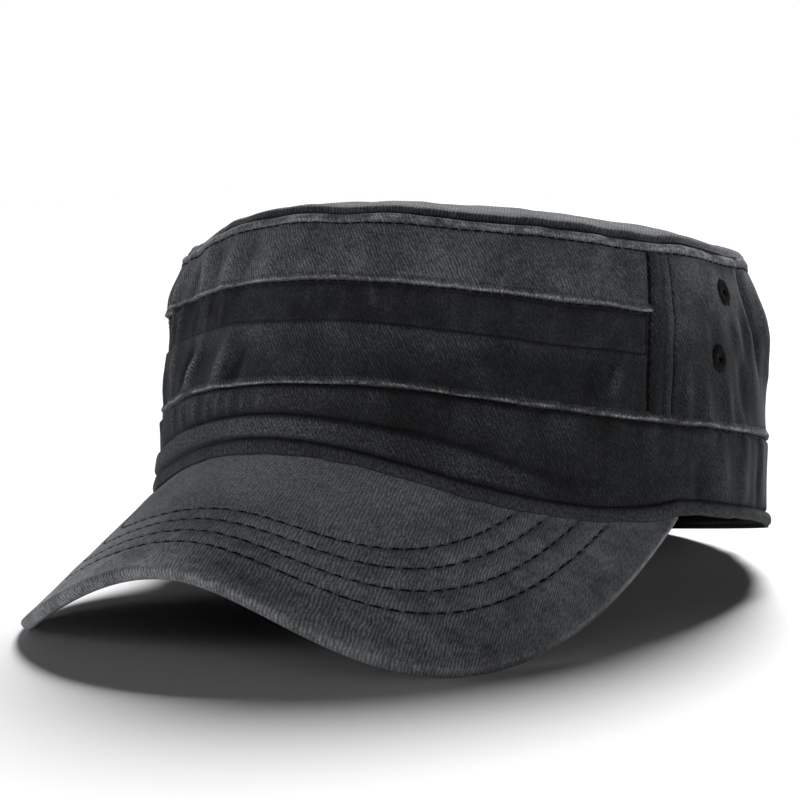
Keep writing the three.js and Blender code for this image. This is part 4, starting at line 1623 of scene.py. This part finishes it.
@dataclass
class TopPanel:
    """The domed top with its stitched strip along the rim."""

    shape: CrownShape
    bench: Workbench
    runs: StitchRun = StitchRun()
    strip: float = 5.2
    strip_proud: float = 0.5
    strip_shade: float = 0.35
    groove: float = 0.5
    groove_width: float = 0.6
    rim_drop: float = 0.2
    rim_reach: float = 0.75
    rim_share: float = 0.9
    under_drop: float = 0.5
    columns: int = 460
    foot: float = 68.7
    pole: float = 0.02
    row_points: int = 1200
    broad: Ripple = Ripple(81, 1.1, 38.0)
    middle: Ripple = Ripple(82, 0.3, 14.0)
    small: Ripple = Ripple(83, 0.09, 5.0)
    pucker: Ripple = Ripple(84, 1.0, 5.5)
    wave: Ripple = Ripple(85, 0.35, 12.0)

    def _surface(self, turn: Array, inset: Array, raised: Array) -> Array:
        """Points of the dome.

        Args:
            turn: Turn from the front.
            inset: Distance inwards from the rim.
            raised: Height above the dome's under face.

        Returns:
            Points, with x, y and z along the last axis.
        """
        shape = self.shape
        share = 1 - inset / (shape.half_width * shape.top_scale)
        x, y = shape.plan(turn, shape.top_scale * share, 0.0)
        lean = 1 + shape.dome_lean * y / shape.half_length + shape.dome_tilt * x / shape.half_width
        dome = shape.dome_height * lean * (1 - np.abs(share) ** shape.dome_power)
        rim = np.array(shape.crown_height)
        lift = (shape.lift(turn, rim) + shape.sway(turn, rim)) * share
        return np.stack([x, y, self.foot + lift + dome + raised], -1)

    def _relief(self, turn: Array, inset: Array) -> Array:
        """The unevenness of the top.

        Args:
            turn: Turn from the front.
            inset: Distance inwards from the rim.

        Returns:
            Heights to add.
        """
        flat = self._surface(turn, inset, 0.0)
        x, y = flat[..., 0], flat[..., 1]
        broad = self.broad.at(x, y) * ease(inset, 4, 22)
        rim = self.shape.plan(turn, 1.0, 0.0)
        drawn = np.exp(-np.abs(inset - self.strip) / 4.5)
        return (broad + self.middle.at(x, y, 0.3) + self.small.at(x, y, 0.6)
                + 0.4 * drawn * self.pucker.at(*rim, inset / 30) + self.wave.at(*rim) * np.exp(-inset / 6))

    def build(self) -> None:
        """Makes the top panel and its row of stitches."""
        shape = self.shape
        radius = shape.half_width * shape.top_scale
        over = np.array([radius - self.pole, *np.arange(radius - 1.2, 9.0, -1.25),
                         *np.arange(8.4, 0.6, -0.42), 0.6, 0.35, 0.15, 0.0])
        under = np.array([0.2, 2.0, 12.0, 40.0, radius - self.pole])
        inset, inside = both_sides(over, under)
        turn = (np.arange(self.columns) * 360.0 / self.columns - 180.0)[None, :]
        turn, inset = np.broadcast_arrays(turn, inset)
        relief = self._relief(turn, inset)
        dip = bell(inset - self.strip, self.groove_width)
        on_strip = ease(-inset, -self.strip - 0.4, -self.strip + 0.6)
        raised = shape.cloth + self.strip_proud * on_strip - self.groove * dip
        raised = raised - (shape.cloth + self.rim_drop) * bell(inset, self.rim_reach) * self.rim_share
        raised = np.where(inside, relief * ease(inset, 2, 12) - self.under_drop, raised + relief)
        points = self._surface(turn, inset, raised)
        wear = 0.1 * bell(inset - self.strip - 2.3, 1.6)
        spoke = unit(points[..., :2] - points[0].mean(axis=0)[:2])
        run = self.pole + arc(points)
        # Painted shade in the stitched groove, at the rim where the top turns down and over the stitched
        # strip.
        painted_shade = np.maximum(np.maximum(0.8 * dip, bell(inset, 0.5)), self.strip_shade * on_strip)
        skin = Skin.of(points, spoke[..., 0] * run, spoke[..., 1] * run, wear, painted_shade)
        self.bench.skin_piece("crown_top", skin, Slot.CROWN, ring=True)
        around = np.linspace(-180.0, 180.0, self.row_points)
        line = np.full(around.shape, self.strip)
        path = self._surface(around, line, shape.cloth + self.strip_proud / 2 - self.groove
                             + self._relief(around, line))
        away = np.broadcast_to([0.0, 0.0, 1.0], path.shape)
        self.bench.threads("top_stitches", self.runs.lines(path, away, 86), self.runs.radii())


@dataclass
class Band:
    """The band, its rolled lower edge and the sweatband inside."""

    shape: CrownShape
    bench: Workbench
    relief: WallRelief
    runs: StitchRun = StitchRun()
    step: float = 0.85
    bulge: float = 1.6
    bulge_turn: float = -12.0
    bulge_reach: float = 62.0
    crease_depth: float = 1.3
    overlap: float = 0.02
    seam_reach: float = 0.035
    tuck_in: float = 0.75
    inner_drop: float = 0.6
    edge_proud: float = 1.0
    row_points: int = 1300
    sweatband_step: float = 1.6
    back_in: float = -1.6
    lumps: tuple[Ripple, Ripple] = (Ripple(91, 0.13, 3.2), Ripple(92, 0.18, 11.0))
    sweatband_ripple: Ripple = Ripple(95, 0.3, 16.0)
    section: Profile = Profile(
        level=(0.0, 0.0, 0.01, 0.07, 0.2, 0.4, 0.6, 0.78, 0.9, 0.97, 1.02, 1.0),
        out=(-1.5, -0.6, 0.1, 0.55, 0.9, 1.05, 1.0, 0.75, 0.35, -0.15, -0.8, -1.6))
    sweatband_section: Profile = Profile(
        level=(0.0, 0.0, 0.03, 0.09, 0.14, 0.2, 0.5, 0.9, 0.97, 1.0, 1.0, 0.5, 0.1),
        out=(-2.1, -2.9, -3.4, -3.6, -3.15, -3.2, -3.5, -3.9, -4.1, -3.6, -2.8, -2.4, -2.1))

    def _band_out(self, turn: Array, share: Array) -> tuple[Array, Array]:
        """How far the band stands out, and the painted shade in its crease.

        Args:
            turn: Turn from the front.
            share: Share of the way up the band.

        Returns:
            Distances outwards, and the painted shade in the crease from 0 to 1.
        """
        height = share * (self.shape.band_fold_height - 2.5) + 2.5
        relief = self.relief.out(turn, height, band=True)
        crease = 0.45 - 0.2 * ease(np.abs(turn), 24, 54)
        held = (1 - ease(turn, 44, 60)) * (1 - ease(-turn, 62, 84))
        front = bell(turn - self.bulge_turn, self.bulge_reach)
        below = ease(share, 0.0, 0.1) * (1 - ease(share, crease - 0.07, crease + 0.02))
        above = ease(share, crease + 0.02, crease + 0.4) * 0.35
        notch = bell(share - crease - 0.015, 0.055)
        out = self.bulge * front * (0.35 + 0.65 * held) * (below + above)
        out = out - self.crease_depth * notch * held * front
        return out + relief, notch * held * front

    def _build_band(self) -> None:
        """Makes the band."""
        share, inside = both_sides(spaced(-self.overlap, 1 + self.overlap, 0.036, (0.012, 0.03, 0.055)),
                                   np.linspace(1.0, 0.0, 5))
        turn = self.shape.around(self.step)[None, :]
        turn, share = np.broadcast_arrays(turn, share)
        out, crease = self._band_out(turn, share)
        seam = bell(np.minimum(share, 1 - share) + self.overlap, self.seam_reach)
        out = np.where(inside, np.minimum(out, 0.0) - self.shape.cloth - self.inner_drop,
                       out - self.tuck_in * seam)
        points = self.shape.band_point(turn, share, out)
        wear = np.clip((out - 0.1) * 0.2, 0, 0.5) * (1 - seam)
        # Painted shade at the seams, in the crease and where the band lies sunk.
        painted_shade = np.maximum(0.9 * seam, 0.8 * crease)
        painted_shade = np.maximum(painted_shade, np.clip((-out - 0.1) * 0.5, 0, 0.5))
        skin = Skin.of(points, self.shape.length(turn), points[..., 2], wear, painted_shade)
        self.bench.skin_piece("band", skin, Slot.CROWN, ring=True, length=self.shape.girth)

    def _build_edge(self) -> None:
        """Makes the rolled lower edge and the stitches above it."""
        level, out = self.section.closed(self.back_in).columns()
        turn, level = np.broadcast_arrays(self.shape.around(self.step), level)
        x, y = self.shape.plan(turn, 1.0, 0.0)
        lump = sum(ripple.at(x, y) for ripple in self.lumps)
        broad = self.relief.out(turn, 0.0 * turn, band=True) * 0.9
        stands = out * self.edge_proud + (lump + broad) * np.clip(out + 0.6, 0, 1)
        x, y = self.shape.plan(turn, 1.0, stands)
        low = self.shape.edge_underside(turn, np.clip(stands, -1.6, 1.2)) - 0.1
        high = self.shape.edge_top(turn) + 0.1
        points = np.stack([x, y, low + (high - low) * level], -1)
        # Paler on the most proud part of the roll: partly real wear, partly a painted highlight along its
        # ridge.
        wear = np.clip(np.clip(out * 1.2, 0, 1) ** 2 * (0.7 + 0.9 * lump), 0, 1)
        # Painted shade where the section lies behind the roll's face.
        skin = Skin.of(points, self.shape.length(turn), level * self.shape.edge_height, wear,
                       np.clip(-out, 0, 1))
        self.bench.skin_piece("band_edge", skin, Slot.EDGE, ring=True, length=self.shape.girth)
        around = np.linspace(-180.0, 180.0, self.row_points)
        share = np.full(around.shape, 0.045)
        out, _ = self._band_out(around, share)
        path = self.shape.band_point(around, share, out - 0.45)
        away = self.shape.band_point(around, share, out + 0.55) - path
        self.bench.threads("edge_stitches", self.runs.lines(path, away, 93), self.runs.radii())

    def _build_sweatband(self) -> None:
        """Makes the sweatband inside the rim."""
        level, out = self.sweatband_section.columns()
        turn, level = np.broadcast_arrays(self.shape.around(self.sweatband_step), level)
        ripple = self.sweatband_ripple.at(*self.shape.plan(turn, 1.0, 0.0), level * 2)
        x, y = self.shape.plan(turn, self.shape.scale(level * self.shape.sweatband_height),
                               out + np.where(out < -3, ripple, 0))
        low = self.shape.edge_underside(turn, 0.0) + 1.4
        high = self.shape.sweatband_height + self.shape.lift(turn, np.array(0.0))
        points = np.stack([x, y, low + (high - low) * level], -1)
        skin = Skin.of(points, self.shape.length(turn), points[..., 2], 0.1, 0.0)
        self.bench.skin_piece("sweatband", skin, Slot.SWEATBAND, ring=True, length=self.shape.girth)

    def build(self) -> None:
        """Makes the band and what is sewn to it."""
        self._build_band()
        self._build_edge()
        self._build_sweatband()


@dataclass
class Peak:
    """The arched peak with four curved rows of stitches."""

    shape: CrownShape
    bench: Workbench
    rows: tuple[float, float, float, float] = (10.7, 15.2, 19.9, 24.2)
    runs: StitchRun = StitchRun(4.1, 0.84, 0.27, 0.24, 0.2)
    columns: int = 330
    groove: float = 0.26
    groove_width: float = 0.42
    corner: float = 1.25
    hem: float = 3.4
    hem_back: float = 1.9
    edge_wear: float = 0.12
    face_painted_light: float = 0.9
    row_points: int = 1400
    under_share: float = 0.985
    under_in: float = 0.7
    broad: Ripple = Ripple(101, 0.16, 24.0)
    fine: Ripple = Ripple(102, 0.07, 7.0)
    drawn: Ripple = Ripple(103, 1.0, 3.6)

    def _span(self, across: Array) -> tuple[Array, Array, Array]:
        """The outer edge, the rim behind it and the distance between them.

        Args:
            across: Place along the outer edge, from -1 to 1.

        Returns:
            The edge and the rim, each with x and y along the first axis, and the distances.
        """
        edge = np.stack(self.shape.peak_edge(across))
        rim = np.stack(self.shape.plan(across * self.shape.peak_turn, 1.0, -self.shape.cloth))
        return edge, rim, np.hypot(*(rim - edge))

    def _ripples(self, x: Array, y: Array) -> Array:
        """The soft unevenness of the cover over a point of the plan."""
        return self.broad.at(x, y) + self.fine.at(x, y, 0.5)

    def _place(self, across: Array, inwards: Array, depth: Array) -> Array:
        """Points in the peak.

        Args:
            across: Place along the outer edge, from -1 to 1.
            inwards: Distance from the outer edge towards the crown, in plan.
            depth: Depth below the upper face.

        Returns:
            Points, with x, y and z along the last axis.
        """
        edge, rim, reach = self._span(across)
        x, y = edge + (rim - edge) * (inwards / np.maximum(reach, 1e-6))
        normal = self.shape.peak_normal(x, y)
        return np.stack([x, y, self.shape.peak_height(x, y)], -1) - normal * depth[..., None]

    def _relief(self, across: Array, inwards: Array) -> tuple[Array, Array]:
        """The shape that the rows of stitches give the cloth.

        Args:
            across: Place along the outer edge.
            inwards: Distance from the outer edge.

        Returns:
            Heights to add, and the painted shade in the grooves.
        """
        flat = self._place(across, inwards, np.zeros(np.broadcast(across, inwards).shape))
        x, y = flat[..., 0], flat[..., 1]
        distance = self.shape.rim_distance(x, y)
        raised = self._ripples(x, y)
        painted_shade = np.zeros(x.shape)
        for number, row in enumerate(self.rows):
            dip = bell(distance - row, self.groove_width)
            ripple = replace(self.drawn, seed=self.drawn.seed + number)
            drawn = ripple.at(x, y) * np.exp(-np.abs(distance - row) / 1.6)
            raised = raised - self.groove * dip + 0.1 * drawn
            painted_shade = np.maximum(painted_shade, dip)
        for row, after in zip(self.rows, self.rows[1:]):
            raised = raised + 0.14 * bell(distance - (row + after) / 2, 1.7)
        border = ease(distance, 2.6, 4.2)
        return raised * border, painted_shade * border

    def _cover_section(self, reach: Array) -> tuple[Array, Array, int, int]:
        """The section of the upper cover: its face, the nose round the edge, the hem and the back.

        Args:
            reach: Distance from the outer edge to the rim at each column.

        Returns:
            Distances inwards as rows and columns, the depth of each row, the number of rows in the
            face, and the number in the nose.
        """
        thick, corner = self.shape.peak_thickness, self.corner
        face = np.concatenate([np.linspace(1, 0.62, 34), np.linspace(0.62, 0.06, 110)[1:], [0.035, 0.012]])
        turned = np.pi / 2 - np.radians(np.linspace(90, 0, 6))
        early, late = corner * (1 - np.sin(turned)), corner * (1 - np.cos(turned))
        flank = np.array([0.35, 0.65])
        nose_in = np.concatenate([early, 0 * flank, late])
        nose_down = np.concatenate([late, corner + (thick - 2 * corner) * flank, thick - early])
        hem_in = np.array([corner + 0.6, self.hem - 0.5, self.hem, self.hem])
        hem_down = np.array([thick, thick, thick - 0.4, self.hem_back])
        back = np.linspace(0.2, 1, 5)
        edge_in = np.concatenate([nose_in, hem_in])[:, None]
        inwards = np.concatenate([corner + (reach - corner) * face[:, None],
                                  np.broadcast_to(edge_in, (len(edge_in), len(reach))),
                                  self.hem + (reach - self.hem) * back[:, None]])
        depth = np.concatenate([np.zeros(len(face)), nose_down, hem_down, np.full(len(back), self.hem_back)])
        return np.minimum(inwards, reach), depth, len(face), len(nose_in)

    def _build_cover(self) -> None:
        """Makes the upper cover, folded round the edge."""
        across = np.linspace(-1, 1, self.columns)
        edge, _, reach = self._span(across)
        inwards, depth, face_rows, nose_rows = self._cover_section(reach)
        relief, painted_shade = self._relief(across[None, :], inwards)
        row = np.arange(len(depth))[:, None]
        on_face = row < face_rows
        points = self._place(across[None, :], inwards, depth[:, None] + np.where(on_face, -relief, 0))
        on_edge = (row >= face_rows - 2) & (row < face_rows + nose_rows)
        wear = self.edge_wear * on_edge + self.edge_wear * bell(inwards - 1.2, 1.2) * on_face
        # Painted light: the middle of the peak's face, towards the crown, is made paler, standing in for
        # light that the crown keeps off it.
        middle = bell(points[..., 0] - 2.0, 34.0) * self.face_painted_light
        wear = wear + middle * np.clip((inwards - 8) / 30, 0, 1) * on_face
        thick = self.shape.peak_thickness
        # Painted shade in the grooves of the rows, and along the hem where the cover turns under.
        groove = (0.9 * (depth > thick - 0.3) * (depth < thick + 1))[:, None]
        skin = Skin.of(points, arc(edge.T), -arc(points), wear, np.maximum(painted_shade * on_face * 0.45, groove))
        self.bench.skin_piece("peak_top_cover", skin, Slot.PEAK)

    def _build_under(self) -> None:
        """Makes the under cover."""
        thick = self.shape.peak_thickness
        across = np.linspace(-1, 1, self.columns) * self.under_share
        _, _, reach = self._span(across)
        face = np.concatenate([[0, 0.01], np.linspace(0.03, 1, 60)])
        start = np.minimum(self.hem - 0.6, reach * 0.8)
        lower = start + (reach - start) * face[:, None]
        upper = start + (reach - start) * np.linspace(1, 0, 5)[:, None]
        inwards = np.concatenate([lower, upper])
        relief, painted_shade = self._relief(across[None, :], inwards)
        below = (np.arange(len(inwards)) < len(lower))[:, None]
        tuck = 0.8 * bell(inwards - start, 0.8)
        depth = np.where(below, thick - self.under_in + relief * 0.8 - tuck, 2.0)
        points = self._place(across[None, :], inwards, depth)
        # Painted shade in the grooves of the underside.
        skin = Skin.of(points, points[..., 0], points[..., 1], 0.0, painted_shade * below * 0.8)
        self.bench.skin_piece("peak_under_cover", skin, Slot.UNDER)

    def _row_path(self, inset: float, under: bool) -> tuple[Array, Array]:
        """The path of a row of stitches.

        Args:
            inset: Distance from the outer edge.
            under: Whether it is the row's underside.

        Returns:
            Points along the row, and the direction away from the cloth.
        """
        x, y = self.shape.peak_edge(np.linspace(-1, 1, self.row_points), inset)
        angle = np.degrees(np.arctan2(x / self.shape.half_width, -y / self.shape.half_length))
        rim_x, rim_y = self.shape.plan(angle, 1.0, 0.6)
        outside = np.hypot(x, y) > np.hypot(rim_x, rim_y)
        x, y = x[outside], y[outside]
        normal = self.shape.peak_normal(x, y)
        surface = np.stack([x, y, self.shape.peak_height(x, y)], -1)
        if under:
            depth = self.shape.peak_thickness - self.under_in - self.groove * 0.8
            return surface - normal * depth, -normal
        return surface + normal * (self._ripples(x, y) - self.groove + 0.04)[:, None], normal

    def build(self) -> None:
        """Makes both covers and the stitches through them."""
        self._build_cover()
        self._build_under()
        lines, under = [], []
        for number, inset in enumerate(self.rows):
            lines.append(self.runs.lines(*self._row_path(inset, False), 110 + number))
            under.append(self.runs.lines(*self._row_path(inset, True), 120 + number))
        self.bench.threads("peak_stitches", np.concatenate(lines), self.runs.radii())
        self.bench.threads("peak_under_stitches", np.concatenate(under), self.runs.radii())


@dataclass(frozen=True)
class Lamp:
    """A wide soft light.

    Attributes:
        name: Its name.
        azimuth: Where it stands round the cap, in degrees from the front towards the wearer's left.
        elevation: Its height above the horizon, in degrees.
        strength: Its strength.
        spread: How wide it looks from the cap, in degrees.
    """

    name: str
    azimuth: float
    elevation: float
    strength: float
    spread: float

    def build(self) -> None:
        """Adds the light."""
        light = bpy.data.lights.new(self.name, "SUN")
        light.energy = self.strength
        light.angle = math.radians(self.spread)
        lamp = bpy.data.objects.new(self.name, light)
        bpy.context.scene.collection.objects.link(lamp)
        turn, rise = math.radians(self.azimuth), math.radians(self.elevation)
        away = Vector((math.sin(turn) * math.cos(rise), -math.cos(turn) * math.cos(rise), math.sin(rise)))
        lamp.rotation_mode = "QUATERNION"
        lamp.rotation_quaternion = away.to_track_quat("Z", "Y")


@dataclass(frozen=True)
class Studio:
    """The pale floor, the soft lights and the camera.

    Attributes:
        camera: Place of the camera, in metres.
        towards: The direction that it looks in.
        roll: How far it is turned about that direction, in degrees.
        lens: Its focal length, in mm.
        sensor: Width of its sensor, in mm.
        clip: The nearest and the farthest that it sees, in metres.
        floor_size: Width of the floor, in metres.
        floor_colour: Colour of the floor.
        white: Colour of the surroundings.
        fill: Strength of the surroundings as a light.
        backdrop: Strength of the surroundings as the camera sees them.
        lamps: The lights.
    """

    camera: tuple[float, float, float] = (0.313597, -0.535114, 0.1138)
    towards: tuple[float, float, float] = (-0.512704, 0.853203, -0.09581)
    roll: float = -1.1
    lens: float = 97.47
    sensor: float = 36.0
    clip: tuple[float, float] = (0.01, 100.0)
    floor_size: float = 40.0
    floor_colour: Colour = (0.93, 0.93, 0.935)
    white: Colour = (1.0, 1.0, 1.0)
    fill: float = 0.018
    backdrop: float = 1.0
    lamps: tuple[Lamp, ...] = (Lamp("back_key_light", 197.0, 40.0, 5.15, 24.0),
                               Lamp("left_low_light", -56.0, 6.5, 0.76, 24.0),
                               Lamp("front_low_light", 62.0, 7.0, 0.5, 36.0))

    def _floor(self) -> None:
        """Makes the floor."""
        mesh = bpy.data.meshes.new("floor")
        half = self.floor_size / 2
        mesh.from_pydata([(-half, -half, 0), (half, -half, 0), (half, half, 0), (-half, half, 0)], [],
                         [(0, 1, 2, 3)])
        floor = bpy.data.objects.new("floor", mesh)
        bpy.context.scene.collection.objects.link(floor)
        bench = NodeBench("pale_floor")
        surface = bench.node("ShaderNodeBsdfPrincipled", {"Base Color": (*self.floor_colour, 1.0),
                                                          "Roughness": 0.7, "Specular IOR Level": 0.2})
        bench.node("ShaderNodeOutputMaterial", {"Surface": surface.outputs[0]})
        mesh.materials.append(bench.material)

    def _surroundings(self) -> None:
        """Adds the white surroundings, which light the cap less than the camera sees of them."""
        world = bpy.data.worlds.new("white_studio")
        world.use_nodes = True
        bpy.context.scene.world = world
        tree = world.node_tree
        tree.nodes.clear()
        output = tree.nodes.new("ShaderNodeOutputWorld")
        path = tree.nodes.new("ShaderNodeLightPath")
        mix = tree.nodes.new("ShaderNodeMixShader")
        tree.links.new(path.outputs["Is Camera Ray"], mix.inputs[0])
        for socket, strength in ((1, self.fill), (2, self.backdrop)):
            background = tree.nodes.new("ShaderNodeBackground")
            background.inputs["Color"].default_value = (*self.white, 1.0)
            background.inputs["Strength"].default_value = strength
            tree.links.new(background.outputs[0], mix.inputs[socket])
        tree.links.new(mix.outputs[0], output.inputs[0])

    def _camera(self) -> None:
        """Adds the camera."""
        data = bpy.data.cameras.new("camera")
        data.lens = self.lens
        data.sensor_width = self.sensor
        data.clip_start, data.clip_end = self.clip
        eye = bpy.data.objects.new("camera", data)
        bpy.context.scene.collection.objects.link(eye)
        bpy.context.scene.camera = eye
        ahead = Vector(self.towards).normalized()
        right = ahead.cross(Vector((0, 0, 1))).normalized()
        up = right.cross(ahead)
        angle = math.radians(self.roll)
        turned = right * math.cos(angle) + up * math.sin(angle)
        up = up * math.cos(angle) - right * math.sin(angle)
        pose = Matrix((turned, up, -ahead)).transposed().to_4x4()
        pose.translation = Vector(self.camera)
        eye.matrix_world = pose

    def build(self) -> None:
        """Sets up the studio."""
        self._floor()
        self._surroundings()
        for lamp in self.lamps:
            lamp.build()
        self._camera()
        bpy.context.scene.view_settings.view_transform = "Standard"


def corners(box: tuple[Vector, Vector]) -> list[list[float]]:
    """A box as plain lists of numbers."""
    return [list(corner) for corner in box]


def main() -> None:
    """Builds the cap round its solid model and sets up the studio."""
    logging.basicConfig(level=logging.INFO, format="%(name)s: %(message)s")
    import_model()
    shape = CrownShape()
    bench = Workbench(shape)
    for finish in FINISHES:
        bench.finishes[finish.slot] = finish.material()
    relief = WallRelief(shape)
    wall = CrownWall(shape, bench, relief)
    wall.build()
    eyelets = Eyelets(wall, bench)
    for side in Side:
        eyelets.build(side)
    Folds(shape, bench, relief).build()
    TopPanel(shape, bench).build()
    Band(shape, bench, relief).build()
    Peak(shape, bench).build()
    Studio().build()


if __name__ == "__main__":
    main()
